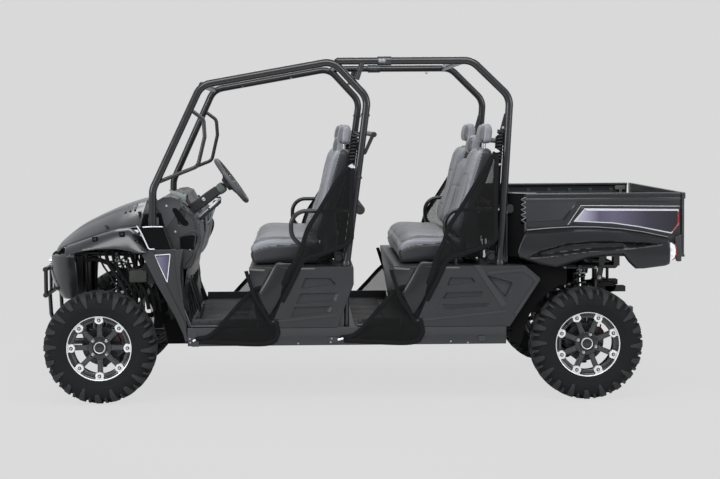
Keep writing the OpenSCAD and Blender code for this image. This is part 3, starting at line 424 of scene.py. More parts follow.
# Surface rust on the bare bracket by the axle
rust_brown = surface("rusted_bare_steel", "#2A2120", "#3B2C28", 0.7, grain=5.0, depth=0.3)
# Bright film and polished trim lines; along the cowl's edge beside the fender it is a painted highlight
bright = surface("bright_trim_and_painted_highlight", "#D4D6DC", "#EEF0F4", 0.22, metallic=0.6, grain=3.0, depth=0.02,
    drift=0.04)
# Pale grey: the sill's bolts and the flange along the floor's edge, and painted highlights laid as thin lines
# along edges where they catch the lamps: the bed's ridge, its teeth and its top front corner
pale_grey_and_highlight = surface("pale_grey_parts_and_painted_highlight", "#6E7074", "#8A8C90", 0.3, grain=3.0, depth=0.04, coat=0.3)
# Painted highlight: a pale band along the top of the bed's film
film_band_highlight = surface("film_band_painted_highlight", "#C9C6D6", "#E2E0EA", 0.25, metallic=0.35, grain=3.0, depth=0.03)
# Webbing: woven polyester, matt with a soft sheen
webbing = surface("woven_webbing", "#08080A", "#101113", 0.85, grain=3.0, depth=0.5, shine=0.2)

# %% [markdown]
# Marine vinyl is a coated cloth: its skin is embossed with rounded cells a millimetre or two across and it
# takes a soft highlight. The grain here is drawn at four millimetres so that it still shows at this distance.

# %% Vinyl in its four tints
def vinyl(tint, dark, light, depth=0.35):
    return surface("embossed_vinyl_" + tint, dark, light, 0.46, patch=260, grain=4.0, depth=depth,
        cells=True, sheen=0.15)


vinyl_grey = vinyl("grey", "#55575B", "#64666B")
# pale: a paler vinyl on the backs and headrests, and on the bench cushions a painted highlight along the
# rounded edge
vinyl_pale_and_highlight = vinyl("pale", "#77797E", "#868990")
vinyl_dark = vinyl("charcoal", "#202124", "#2A2B2F")
vinyl_light = vinyl("light", "#54565A", "#606267", 0.3)
print("finishes", len(bpy.data.materials))

# %% [markdown]
# The door nets are woven polyester mesh. Its threads are about a millimetre thick; they are drawn as a
# square grid of holes a few millimetres wide, and what is left between the holes is opaque, so the net
# darkens what is behind it. Lenses are polycarbonate over a bright reflector. The bed's film runs from pale
# lilac to dark plum; the pale lilac at its front is a painted highlight.

# %% Net, lens and film
def mesh_cloth(name, dark, light, pitch, thread):
    """Woven mesh: pitch and thread in millimetres, holes see-through."""
    m, t = blank(name)
    place = add(t, "TexCoord").outputs["Object"]
    parts = add(t, "SeparateXYZ", {}, i0=place)
    lines = []
    for socket in ("X", "Z"):
        scaled = add(t, "Math", {"operation": "MULTIPLY", 1: 1000 / pitch}, i0=parts.outputs[socket])
        wave = add(t, "Math", {"operation": "FRACT"}, i0=scaled.outputs[0])
        lines.append(add(t, "Math", {"operation": "LESS_THAN", 1: thread / pitch}, i0=wave.outputs[0]))
    solid = add(t, "Math", {"operation": "MAXIMUM"}, i0=lines[0].outputs[0], i1=lines[1].outputs[0])
    patches = add(t, "TexNoise", {"Scale": 12.0, "Detail": 2.0}, Vector=place)
    tint = add(t, "Mix", {"data_type": "RGBA", 6: linear(dark), 7: linear(light)}, i0=patches.outputs[0])
    weave = add(t, "TexNoise", {"Scale": 1000 / thread}, Vector=place)
    bump = add(t, "Bump", {"Strength": 0.4, "Distance": 0.0005}, Height=weave.outputs[0])
    shader = add(t, "BsdfPrincipled", {"Roughness": 0.85, "Specular IOR Level": 0.2},
        Base_Color=tint.outputs[2], Alpha=solid.outputs[0], Normal=bump.outputs[0])
    add(t, "OutputMaterial", {}, Surface=shader.outputs[0])
    return m


near_net = mesh_cloth("mesh_cloth_black", "#050506", "#0B0C0D", 6.0, 3.6)
# the far nets take a paler grey-green copy of the same black mesh: painted light
far_net_painted_lighter = mesh_cloth("mesh_cloth_painted_lighter", "#323837", "#414846", 6.0, 2.7)


def clear_lens(name, code, glow):
    """Polycarbonate over a reflector: pale, glossy, lit a little by its own facets."""
    m, t = blank(name)
    place = add(t, "TexCoord").outputs["Object"]
    facets = add(t, "TexVoronoi", {"Scale": 55.0}, Vector=place)
    tint = add(t, "Mix", {"data_type": "RGBA", 6: linear(code), 7: linear(glow)}, i0=facets.outputs[0])
    bump = add(t, "Bump", {"Strength": 0.25, "Distance": 0.002}, Height=facets.outputs[0])
    shader = add(t, "BsdfPrincipled", {"Roughness": 0.14, "Coat Weight": 1.0, "Coat Roughness": 0.04},
                 Base_Color=tint.outputs[2], Normal=bump.outputs[0])
    add(t, "OutputMaterial", {}, Surface=shader.outputs[0])
    return m


lens_clear = clear_lens("clear_polycarbonate_lens", "#F4F6F8", "#C9CED4")
lens_red = clear_lens("red_polycarbonate_lens", "#A3161C", "#6E0F14")


def fade_film(name, stops, x_from, x_to):
    """A printed film whose colour runs along the vehicle."""
    m, t = blank(name)
    parts = add(t, "SeparateXYZ", {}, i0=add(t, "TexCoord").outputs["Object"])
    along = add(t, "MapRange", {"From Min": x_from, "From Max": x_to}, Value=parts.outputs["X"])
    ramp = add(t, "ValToRGB", {}, i0=along.outputs[0])
    bands = ramp.color_ramp.elements
    bands[0].position, bands[0].color = stops[0][0], linear(stops[0][1])
    bands[1].position, bands[1].color = stops[-1][0], linear(stops[-1][1])
    for place, code in stops[1:-1]:
        bands.new(place).color = linear(code)
    brushed = add(t, "TexNoise", {"Scale": 40.0, "Detail": 2.0}, Vector=parts.inputs[0].links[0].from_socket)
    bump = add(t, "Bump", {"Strength": 0.05, "Distance": 0.0005}, Height=brushed.outputs[0])
    shader = add(t, "BsdfPrincipled", {"Metallic": 0.35, "Roughness": 0.28, "Coat Weight": 0.6,
        "Coat Roughness": 0.08}, Base_Color=ramp.outputs[0], Normal=bump.outputs[0])
    add(t, "OutputMaterial", {}, Surface=shader.outputs[0])
    return m


# the film's plum print; its pale lilac front end is a painted highlight
plum_film_and_highlight = fade_film("plum_print_and_painted_highlight", [(0.0, "#B9B6C4"), (0.1, "#9E9AAE"), (0.24, "#565266"),
    (0.38, "#5F5B70"), (0.7, "#34313E"), (1.0, "#1E1D26")], -1.24, -1.85)
badge_film = fade_film("badge_printed_film", [(0.0, "#77748C"), (1.0, "#3E3B52")], 1.18, 1.09)
print("all finishes", len(bpy.data.materials))

# %% [markdown]
# ## Carried-over nodes
# Where the CAD shape is already the real one, the node stays and takes a finish. The rest get detailed
# pieces.


def finish(mat, *names):
    for n in names:
        me = nodes[n].data
        me.materials.clear()
        me.materials.append(mat)


finish(powder, "frame_rails", "front_frame", "rear_frame", "cage_front", "cage_rear", "brush_guard",
    "hip_bars", "front_arms", "rear_arms", "strut_tube")
finish(cast, "knuckle_left", "knuckle_right", "rear_knuckles")
finish(dark_plastic_and_shade, "powertrain", "floor_pan", "side_sills", "seat_base_front", "seat_base_rear", "dash",
       "driver_controls", "leg_panels", "front_fascia", "bed_floor")
finish(body_gloss_painted_lighter, "hood", "front_fenders", "bed_front", "bed_sides", "tailgate")
finish(zinc, "steering_rack", "shocks")
finish(exhaust_steel, "exhaust")
finish(chrome, "strut_rod")
finish(lens_clear, "headlights", "tail_lights")
finish(near_net, "side_nets")
finish(vinyl_grey, "seat_cushions", "seat_backs", "headrests")
finish(rubber, "steering_wheel")
for end in ("front", "rear"):
    for hand in ("left", "right"):
        finish(tread, f"tyre_{end}_{hand}")
        finish(enamel, f"rim_{end}_{hand}")
print("finished", len(nodes), "nodes")

# %% [markdown]
# ## Tyres
# An off-road tyre is a round carcass with separate rubber lugs standing on it. The carcass is a turned
# profile. Each lug follows the profile from the tread down over the shoulder, so it is swept along it and
# narrows to its end. The two sides are staggered by half a pitch, which gives the uneven outline the real
# tyre has.

# %% Tyre
FRONT_AXLE, REAR_AXLE = 1.505, -1.314
WHEELS = {"front_left": (FRONT_AXLE, 1), "front_right": (FRONT_AXLE, -1),
          "rear_left": (REAR_AXLE, 1), "rear_right": (REAR_AXLE, -1)}
WHEEL_Y, WHEEL_Z = 0.665, 0.328
PITCHES = 20
half_profile = pairs(180, 76, 187, 90, 194, 94, 205, 99, 212, 99, 232, 106, 256, 107, 278, 102, 294, 89,
    304, 69, 309, 40, 310, 0)
carcass = spline(half_profile, 26)
crown_first = carcass[::-1]
reach = np.r_[0, np.cumsum(np.linalg.norm(np.diff(np.array(crown_first), axis=0), axis=1))]


def on_tyre(s, turn, lift):
    """A point on the tyre: s metres from the crown, turn in radians, lifted off the skin."""
    side = 1 if s >= 0 else -1
    s = abs(s)
    r = np.interp(s, reach, [p[0] for p in crown_first])
    y = np.interp(s, reach, [p[1] for p in crown_first])
    r2 = np.interp(s + 0.002, reach, [p[0] for p in crown_first])
    y2 = np.interp(s + 0.002, reach, [p[1] for p in crown_first])
    d = math.hypot(r2 - r, y2 - y) or 1
    r, y = r + lift * (y2 - y) / d, y - lift * (r2 - r) / d
    return (r * cos(turn), side * y, r * sin(turn))


def lug(shape, s, turn, width, lift):
    """One lug: lists along it of distance from the crown, angle, width and height."""
    rows = []
    for a, c, w, h in zip(s, turn, width, lift):
        lean = w / 2 / 0.31
        rows.append([on_tyre(a, c - lean, -0.003), on_tyre(a, c - lean * 0.8, h),
            on_tyre(a, c + lean * 0.8, h), on_tyre(a, c + lean, -0.003)])
    n = len(rows)
    shape.add([p for r in rows for p in r], [(4 * i + j, 4 * i + j + 1, 4 * i + j + 5, 4 * i + j + 4)
        for i in range(n - 1) for j in range(3)] + [(0, 1, 2, 3), (4 * n - 1, 4 * n - 2, 4 * n - 3,
        4 * n - 4)], 1)


def tyre(name, x, side):
    skin, lugs = Shape(), Shape()
    outer = [(r, y) for r, y in carcass] + [(r, -y) for r, y in carcass[::-1][1:]]
    inner = pairs(180, -60, 200, -84, 270, -90, 290, -60, 290, 60, 270, 90, 200, 84, 180, 60)
    skin.lathe(outer + inner + [outer[0]], m=0, steps=96)
    for ring, lift in ((0.2215, 0.0016), (0.228, 0.0016), (0.247, 0.0022)):
        y = np.interp(ring, [p[0] for p in half_profile[:7]], [p[1] for p in half_profile[:7]])
        for hand in (-1, 1):
            skin.lathe([(ring - 0.0016, hand * (y - 0.001)), (ring, hand * (y + lift)),
                (ring + 0.0016, hand * (y - 0.001))], m=0, steps=96)
    pitch = 2 * pi / PITCHES
    for k in range(PITCHES):
        for hand in (1, -1):
            a = (k + (0.5 if hand < 0 else 0)) * pitch
            long = k % 2 == 0
            end = 0.15 if long else 0.128
            stations = [0.046, 0.066, 0.082, 0.098, 0.114, end]
            bend = [0.0, 0.01, 0.022, 0.03, 0.036, 0.046]
            wide = [0.042, 0.044, 0.043, 0.04, 0.035, 0.02 if long else 0.027]
            high = [0.0175, 0.0175, 0.0165, 0.014, 0.011, 0.004 if long else 0.007]
            lug(lugs, [hand * s for s in stations], [a + b for b in bend], wide, high)
            # the slanted block that joins the shoulder to the middle, and the small one between two shoulders
            lug(lugs, [hand * s for s in (-0.012, 0.01, 0.034)], [a + 0.2, a + 0.15, a + 0.09],
                [0.026, 0.034, 0.036], [0.0175] * 3)
            lug(lugs, [hand * s for s in (0.05, 0.07, 0.088, 0.102)], [a + pitch * 0.56, a + pitch * 0.58,
                a + pitch * 0.6, a + pitch * 0.62], [0.016, 0.019, 0.018, 0.012],
                [0.0165, 0.0165, 0.012, 0.005])
    skin.add(lugs.v, lugs.f, 1)
    place = np.array([x, side * WHEEL_Y, WHEEL_Z])
    skin.v = [tuple(np.array([p[0], side * p[1], p[2]]) + place) for p in skin.v]
    return skin.build("tyre_" + name + "_rubber", [carcass_rubber, tread], "wheel_" + name, bevel=0.0025,
        segments=1, smooth=30, standin=["tyre_" + name])


for name, (x, side) in WHEELS.items():
    o = tyre(name, x, side)
print("tyre faces", len(o.data.polygons))

# %% [markdown]
# ## Wheels
# The cast wheel has eight spokes that run out to a flat ring. At the end of each spoke a pad is left
# unpainted and machined bright, with a small bolt in it, and so is the edge of the outer lip. Behind the
# spokes are the brake disc and the hub.

# %% Wheel
def ring_point(r, deg, y):
    return (r * cos(radians(deg)), y, r * sin(radians(deg)))


def fan(shape, corners, y0, y1, m, shrink=0.0):
    """A plate of (radius, degrees) corners between two depths, its face a little smaller."""
    back, face = ([np.array(ring_point(r, d, y)) for r, d in corners] for y in (y0, y1))
    mid = np.mean(face, axis=0)
    shape.prism([p + shrink * (mid - p) for p in face], back, m)


def wheel(name, x, side):
    turn, nuts = (0.0, 45) if "front" in name else (22.5, 21)
    s = Shape()
    s.lathe(pairs(168, 30, 176, 50, 179, 74, 184.5, 83, 189, 84.5, 190.5, 80, 185, 74, 181.5, 50, 170, 28,
        163, -20, 176, -50, 181, -78, 190, -83, 190, -88, 182, -89, 172, -50, 159, -20, 163, 20, 168, 30),
        m=0, steps=96)
    s.lathe([(0.1805, 0.079), (0.1822, 0.0865), (0.1868, 0.0888), (0.1902, 0.0868), (0.19, 0.083)], m=1,
        steps=96)
    # flat ring that the spokes run out to
    s.lathe(pairs(149, 46, 151, 60, 156, 64, 171, 66, 178, 71, 178, 50, 150, 44, 149, 46), m=0, steps=96)
    # hub, its cap and the cap's bright ring
    s.lathe(pairs(1, 30, 60, 30, 70, 36, 72, 44, 66, 52, 44, 55, 40, 50, 1, 50), m=0, steps=64)
    s.lathe(pairs(33.5, 50, 33.5, 64, 31, 67, 28.5, 65, 27.5, 60), m=1, steps=48)
    s.lathe(pairs(28.5, 58, 27.5, 64, 20, 66.5, 10, 67.5, 0.5, 68), m=0, steps=48)
    s.lathe(pairs(16, 66.5, 16.5, 68.2, 18.5, 68.2, 19, 66), m=2, steps=32)
    for k in range(8):
        a = turn + 45 * k
        # spoke with a raised rib, broad at the hub
        fan(s, [(0.06, a - 17), (0.06, a + 17), (0.1, a + 8.6), (0.153, a + 6.0), (0.153, a - 6.0),
            (0.1, a - 8.6)], 0.03, 0.05, 0, 0.06)
        fan(s, [(0.066, a - 8), (0.066, a + 8), (0.15, a + 3.6), (0.15, a - 3.6)], 0.044, 0.0545, 0, 0.12)
        # machined pad with its bolt
        fan(s, [(0.143, a - 5.0), (0.138, a), (0.143, a + 5.0), (0.152, a + 9.2), (0.166, a + 9.0),
            (0.172, a + 7.4), (0.1835, a + 8.6), (0.1835, a - 8.6), (0.172, a - 7.4), (0.166, a - 9.0),
            (0.152, a - 9.2)], 0.058, 0.0765, 1, 0.05)
        p = ring_point(0.162, a, 0.0765)
        s.lathe(pairs(10.5, 0, 10.8, 1.2, 9.6, 1.8, 9, 1, 0, 1), p, (0, 1, 0), 2, 20)
        s.bolt((p[0], 0.0775, p[2]), (0, 1, 0), 0.0062, 3, washer=False)
        # window rib between two pads
        b = a + 22.5
        fan(s, [(0.155, b - 11), (0.155, b + 11), (0.169, b + 11.5), (0.169, b - 11.5)], 0.06, 0.0685, 0,
            0.06)
    for k in range(4):
        p = ring_point(0.055, nuts + 90 * k, 0.05)
        s.lathe(pairs(10.5, 0, 10.5, 3, 9.2, 5, 0, 5), p, (0, 1, 0), 3, 20)
        s.lathe(pairs(8.6, 4, 8.6, 13, 7, 17.5, 3, 19, 0, 19), p, (0, 1, 0), 3, 6)
    # valve stem
    s.tube([ring_point(0.166, 45, 0.064), ring_point(0.161, 45, 0.076), ring_point(0.157, 45, 0.083)],
        0.0042, 4, 10)
    # brake disc with its slots, and the hub sleeve
    s.lathe(pairs(52, -26, 112, -26, 112, -19.5, 52, -19.5, 52, -26), m=5, steps=64)
    for k in range(18):
        fan(s, [(0.07, 20 * k), (0.074, 20 * k + 5), (0.104, 20 * k + 11), (0.1, 20 * k + 6)], -0.0195,
            -0.0188, 2, 0.02)
    for k in range(4):
        fan(s, [(0.03, 45 + 90 * k - 22), (0.03, 45 + 90 * k + 22), (0.06, 45 + 90 * k + 8),
            (0.06, 45 + 90 * k - 8)], -0.027, -0.019, 3)
    s.lathe(pairs(34, -22, 34, 34, 28, 34, 20.5, 0, 20.5, -22, 34, -22), m=3, steps=32)
    place = np.array([x, side * WHEEL_Y, WHEEL_Z])
    s.v = [tuple(np.array([p[0], side * p[1], p[2]]) + place) for p in s.v]
    return s.build("wheel_" + name + "_cast", [enamel, machined, dark_plastic_and_shade, zinc, rubber, cast],
        "wheel_" + name, bevel=0.0012, segments=1, smooth=32, standin=["rim_" + name])


for name, (x, side) in WHEELS.items():
    o = wheel(name, x, side)
print("wheel faces", len(o.data.polygons))

# %% [markdown]
# The brake caliper is painted red. It sits behind the spokes on the upright, and shows as a spot of colour.

# %% Calipers
def caliper(name, body, x, side):
    s = Shape()
    w = pairs(-118, 12, -108, -4, -64, -2, -44, 22, -46, 62, -68, 86, -100, 82, -118, 58)
    y0, y1 = side * 0.608, side * 0.628
    s.plate([(x + a, WHEEL_Z + b) for a, b in w], y0, y1, 0)
    for a, b in ((-0.098, 0.03), (-0.076, 0.058)):
        s.lathe(pairs(16.5, 0, 16.5, 6, 13, 9, 0, 9), (x + a, y1, WHEEL_Z + b), (0, side, 0), 0, 24)
        s.bolt((x + a, y1 + side * 0.008, WHEEL_Z + b), (0, side, 0), 0.005, 1)
    s.tube(spline([(x - 0.1, y0, WHEEL_Z + 0.078), (x - 0.102, y0 + side * 0.006, WHEEL_Z + 0.092),
        (x - 0.098, y0 + side * 0.016, WHEEL_Z + 0.094)], 12), 0.004, 2, 8)
    s.build("caliper_" + name, [caliper_red, zinc, rubber], body, bevel=0.003, smooth=40)


for name, (x, side) in WHEELS.items():
    caliper(name, "knuckle" + name[5:] if x > 0 else "chassis", x, side)
print("calipers", 4)

# %% [markdown]
# ## Hood
# The hood is one large moulding, highest along the middle, that rolls down to a seam on each side and to the
# nose in front. It is a grid of points: the crown and the seam are read from short tables, and a steep power
# curve carries the surface from one to the other. A shallow raised panel along the middle catches the light.

# %% Hood
CROWN = pairs(1271, 1152, 1335, 1138, 1396, 1118, 1463, 1096, 1568, 1050, 1661, 1004, 1728, 958, 1780, 920,
    1812, 892, 1830, 870, 1838, 852)
SEAM = pairs(1205, 1020, 1271, 1019, 1328, 1016, 1409, 1009, 1503, 982, 1679, 921, 1745, 896, 1795, 872,
    1830, 852, 1838, 846)
HALF = pairs(1271, 602, 1505, 604, 1679, 572, 1760, 492, 1812, 402, 1838, 352)


def hood_z(x, t):
    z = lerp(CROWN, x) + (lerp(SEAM, x) - lerp(CROWN, x)) * abs(t) ** 3.2
    rise = 1 / (1 + math.exp((abs(t) - 0.52) * 60))
    fade = min(1, max(0, (1.8 - x) / 0.12))
    return z + 0.009 * rise * fade


s = Shape()
ts = [-1.0, -0.985, -0.96, -0.9, -0.82, -0.74, -0.66, -0.6, -0.56, -0.53, -0.49, -0.45, -0.36, -0.24, -0.12]
ts = ts + [0] + [-v for v in ts[::-1]]
xs = [1.271, 1.278, 1.3, 1.335, 1.37, 1.41, 1.46, 1.51, 1.56, 1.61, 1.66, 1.7, 1.735, 1.765, 1.79, 1.806,
    1.817, 1.825]
s.grid([[(x - 0.022 * t * t * step(1.78, 1.825, x), t * lerp(HALF, x),
    hood_z(x, t) - (0.006 if abs(t) > 0.99 else 0)) for t in ts] for x in xs], 0)
s.build("hood_shell", [body_gloss_painted_lighter], "hood", smooth=60, thick=0.0035, subdiv=1, standin=["hood"])
s = Shape()
for y in (0.238, -0.25):
    s.plate(pairs(1785, 880, 1812, 872, 1831, 842, 1823, 832, 1815, 842, 1792, 862), y, y + 0.012, 0)
    s.lathe(pairs(5.2, 0, 10, 0, 10, 12, 5.2, 12, 5.2, 0), (1.823, y, 0.842), (0, 1, 0), 0, 24)
s.build("hood_hinge_arms", [zinc], "hood", bevel=0.001)
s = Shape()
for hand in (1, -1):
    # rubber latch on the side of the hood, and the black stop at its rear edge
    t = 0.93
    x = 1.464
    z = hood_z(x, t) + 0.001
    y = hand * t * lerp(HALF, x)
    s.tube([(x + 0.012, y, z + 0.004), (x + 0.004, y + hand * 0.004, z + 0.003),
        (x - 0.012, y + hand * 0.012, z - 0.012)], [0.007, 0.006, 0.007], 0, 10)
    s.lathe(pairs(10, 0, 10, 4, 6, 8, 0, 8), (x + 0.014, y - hand * 0.004, z + 0.003), (0, 0.2 * hand, 1),
        0, 16)
    s.box((1.283, hand * 0.46, hood_z(1.29, 0.77) - 0.002), (1.3, hand * 0.5, hood_z(1.29, 0.79) + 0.012), 0)
    # louvres pressed in the rear corners
    for k in range(3):
        x = 1.325 + 0.028 * k
        s.grid([[(x + dx, hand * y, hood_z(x + dx, y / 0.602) + dz) for y in (0.3, 0.36, 0.42)]
                for dx, dz in ((0.01, 0.0012), (-0.002, 0.0075), (-0.006, 0.0008))], 1)
s.build("hood_latches_and_louvres", [rubber, body_gloss_painted_lighter], "hood", bevel=0.0012, thick=0.0012)

# %% [markdown]
# ## Front fenders
# Each fender hangs below the hood's seam and bulges out over the tyre. It is lofted from the seam to its
# lower edge, with a return flange inside. Three square pockets hold its fasteners.

# %% Fenders
def fender_low(x):
    return lerp([(1.218, 0.884), (1.27, 0.88), (1.336, 0.896), (1.4, 0.907), (1.5, 0.905), (1.6, 0.893),
        (1.66, 0.878), (1.7, 0.866)], x)


def fender_top(x):
    return lerp([(1.218, 0.899), (1.25, 0.944), (1.279, 0.978), (1.318, 1.009)] + [p for p in SEAM
        if 1.32 < p[0] < 1.76], x)


s = Shape()
rows = []
for x in np.linspace(1.218, 1.7, 34):
    top, low = fender_top(x), fender_low(x)
    inset = lerp([(1.6, 0.0), (1.7, 0.035)], x)
    rear = lerp([(1.218, 0.0), (1.32, 1.0)], x)
    y = [0.612, 0.64, 0.672, 0.7, 0.722, 0.744, 0.757, 0.764, 0.76, 0.742]
    z = [top - 0.004, top - 0.001 * rear, top - 0.004, top + (low - top) * 0.12, top + (low - top) * 0.32,
         top + (low - top) * 0.62, top + (low - top) * 0.86, low, low - 0.006, low - 0.004]
    rows.append([(x, a - inset, b) for a, b in zip(y, z)])
s.grid(rows, 0)
s.mirrored().build("front_fender_skins", [body_gloss_painted_lighter], smooth=50, thick=0.0035, subdiv=1,
    standin=["front_fenders"])
s = Shape()
# the pockets are painted shade: matt black plates set into the fender
for x, z in ((1.523, 0.957), (1.368, 0.985), (1.281, 0.94)):
    y = 0.727 if x > 1.3 else 0.728
    s.plate([(x - 0.017, z - 0.014), (x + 0.013, z - 0.015), (x + 0.017, z + 0.011),
        (x - 0.013, z + 0.013)], y - 0.02, y + 0.003, 0)
    s.lathe(pairs(8, 0, 8, 3, 6, 4.5, 0, 4), (x, y + 0.003, z), (0, 1, 0), 1, 16)
s.mirrored().build("fender_fastener_pockets", [painted_shade_black, rubber], bevel=0.002)
s = Shape()
for dx in (-0.12, 0.1):
    x = FRONT_AXLE + dx
    s.box((x - 0.014, 0.6075, 0.898), (x + 0.014, 0.64, 0.926), 0)
    s.bolt((x, 0.6075, 0.905), (0, -1, 0), 0.006, 1)
s.mirrored().build("fender_brackets", [powder, zinc], bevel=0.002)
# painted highlight: a bright line along the edge of the cowl beside the fender
s = Shape()
s.tube(spline(triples(1281, 739, 1033, 1262, 741, 1004, 1236, 744, 950, 1216, 745, 906, 1206, 745, 899,
    1180, 745, 899), 28), 0.0042, 0, 8)
s.tube(triples(1247, 739, 1024.5, 1190, 739, 1027, 1133, 739, 1026), 0.0036, 0, 8)
s.mirrored().build("cowl_edge_painted_highlight", [bright])
print("fenders done")

# %% [markdown]
# ## Nose
# The nose is a shell lofted level by level: each level is a rounded arch in plan that starts at the fender
# and runs round the front. Windows are left open in the grid for the grille and the lamps. The same surface
# function then places the grille slats and the lenses exactly in those windows.

# %% Nose shell
NOSE_X = pairs(575, 1800, 600, 1822, 640, 1848, 690, 1864, 740, 1866.5, 790, 1863, 820, 1855, 840, 1846)
NOSE_W = pairs(575, 405, 620, 420, 660, 430, 720, 470, 780, 520, 840, 560)


def nose(a, z, sink=0.0):
    """A point of the nose: a from 0 at the left fender to 1 at the middle, at height z."""
    ang = a * pi / 2
    n = 2 / 2.9
    x0 = 1.695
    w, tip = lerp(NOSE_W, z) - sink, lerp(NOSE_X, z) - sink
    return (x0 + (tip - x0) * sin(ang) ** n, w * cos(ang) ** n, z)


def in_grille(p):
    return p[1] < 0.275 and 0.625 < p[2] < 0.755


def in_lamp(p):
    return 0.3 < p[1] < 0.412 and 0.77 < p[2] < 0.826


levels = [0.575, 0.585, 0.605, 0.625, 0.65, 0.68, 0.71, 0.735, 0.755, 0.77, 0.788, 0.806, 0.826, 0.836, 0.842]
steps = np.linspace(0, 1, 49)
s = Shape()
grid = [[nose(a, z) for a in steps] for z in levels]
for i in range(len(levels) - 1):
    for j in range(len(steps) - 1):
        c = np.mean([grid[i][j], grid[i + 1][j], grid[i][j + 1], grid[i + 1][j + 1]], axis=0)
        if not in_grille(c) and not in_lamp(c):
            s.add([grid[i][j], grid[i][j + 1], grid[i + 1][j + 1], grid[i + 1][j]], [(0, 1, 2, 3)], 0)
# cheek that closes the shell back to the fender
s.grid([[(1.695, lerp(NOSE_W, z), z), (1.67, lerp(NOSE_W, z) - 0.004, z),
    (1.668, lerp(NOSE_W, z) - 0.02, z)] for z in levels + [0.872]], 0)
s.grid([[nose(a, 0.842) for a in steps[:22]], [(nose(a, 0.842)[0] - 0.012, nose(a, 0.842)[1] - 0.01,
    0.858 if a < 0.2 else 0.852) for a in steps[:22]]], 0)
s.mirrored()
s.build("nose_shell", [body_gloss_painted_lighter], bevel=0.0, smooth=45, thick=0.004, standin=["front_fascia"])
s = Shape()
for z in (0.632, 0.652, 0.672, 0.692, 0.712, 0.732, 0.75):
    rows = []
    for a in np.linspace(0.42, 1.0, 16):
        p, q = Vector(nose(a, z, 0.012)), Vector(nose(a, z, 0.034))
        rows.append([p + Vector((0, 0, 0.005)), p - Vector((0, 0, 0.002)), q - Vector((0, 0, 0.006)),
            q + Vector((0, 0, 0.003))])
    s.grid(rows, 0, closed=True)
for y in (0.0, 0.09, 0.18, 0.265):
    s.box((1.8, y - 0.004, 0.622), (1.842, y + 0.004, 0.758), 0)
s.box((1.795, -0.002, 0.618), (1.803, 0.285, 0.762), 1)
s.mirrored().build("nose_grille", [grained, dark_plastic_and_shade], bevel=0.0008)
# lamps: dark bowl, chromed projector and a clear cover in line with the shell
s = Shape()
s.grid([[nose(a, z, 0.003) for a in steps if 0.296 < nose(a, z)[1] < 0.416][:9]
    for z in (0.768, 0.785, 0.8, 0.815, 0.828)], 0)
s.mirrored().build("headlamp_covers", [lens_clear], smooth=60, thick=0.003, standin=["headlights"])
s = Shape()
for y in (0.328, 0.378):
    s.lathe(pairs(0, 0, 10, 0, 16, 6, 20.5, 20, 22.5, 24, 22.5, 0, 20, -12, 0, -14),
            (1.822, y, 0.797), (1, 0.1, 0), 1, 32)
s.box((1.8, 0.302, 0.772), (1.812, 0.408, 0.822), 0)
s.mirrored().build("headlamp_bowls", [dark_plastic_and_shade, chrome], bevel=0.001)
# pins and ears of the hood's hinge, the stays to the frame and the guard's end caps
s = Shape()
for y in (0.222, 0.258):
    s.box((1.815, y, 0.822), (1.831, y + 0.008, 0.85), 0)
s.tube(triples(1823, 222, 842, 1823, 266, 842), 0.005, 1, 20)
s.box((1.6805, 0.178, 0.82), (1.72, 0.202, 0.838), 0)
s.mirrored()
for y in (0.351, -0.351):
    for z in (0.592, 0.746):
        s.lathe([(0.0155, -0.014 if y > 0 else 0.014), (0.0155, 0.0), (0.012, 0.003 if y > 0 else -0.003),
            (0, 0.004 if y > 0 else -0.004)], (1.876, y, z), (0, 1, 0), 2, 24)
s.build("nose_hinge_and_caps", [powder, zinc, rubber], bevel=0.001)
print("nose done")

# %% [markdown]
# ## Leg shields, cowl box and inner liners
# Below the hood, a stiff panel runs from the fender down to the floor in front of the doorway. It has a
# raised rib along its front edge and a small bright-edged triangular plate, left plain here. Behind the
# wheel a dark liner closes the footwell.

# %% Leg shields and cowl
s = Shape()
s.plate(pairs(1252, 866, 1205, 888, 1020, 893, 1034, 800, 1036, 724, 1022, 600, 1009, 508, 998, 408, 992,
    372, 1008, 356, 1020, 404, 1066, 508, 1104, 577, 1161, 679), 0.713, 0.73, 0)
s.plate(pairs(1254, 868, 1207, 890, 1186, 880, 1120, 700, 1062, 575, 1012, 470, 994, 372, 1008, 354, 1022,
    404, 1068, 508, 1106, 577, 1163, 679), 0.725, 0.74, 0)
s.plate(pairs(1062, 892, 1018, 894, 1033, 800, 1034, 724, 1020, 600, 1030, 610, 1052, 700, 1060, 800),
        0.725, 0.7375, 0)
# doorway side of the shield, turned in towards the cabin
s.grid([[(1.03, 0.728, z), (1.028, 0.72, z), (1.026, 0.69, z - 0.004), (1.024, 0.65, z - 0.01)]
    for z in (0.893, 0.8, 0.7, 0.6, 0.5)], 0)
# cowl box: outer wall, rim and its inner faces, with the black hollow and the pale bracket round the cage's
# foot; the outer wall and the hollow are painted shade in matt black
s.plate(pairs(1262, 1026, 1248, 1085, 1225, 1098, 1150, 1098, 1133, 1026), 0.637, 0.641, 2)
s.plate(pairs(1222, 1030, 1222, 1074, 1165, 1074, 1162, 1030), 0.655, 0.66, 3)
s.plate(pairs(1279, 1020, 1247, 1023.5, 1133, 1024.5, 1088, 897, 1213, 900), 0.724, 0.737, 2)
s.plate(pairs(1279, 1020, 1133, 1024.5, 1088, 897, 1213, 898), 0.632, 0.64, 1)
s.plate(pairs(1283, 1022, 1270, 1024, 1205, 896, 1215, 896), 0.636, 0.73, 1)
s.plate(pairs(1140, 1025, 1128, 1025, 1080, 896, 1092, 896), 0.636, 0.73, 1)
s.plate(pairs(1262, 893, 1060, 896, 1056, 884, 1250, 880), 0.64, 0.7345, 0)
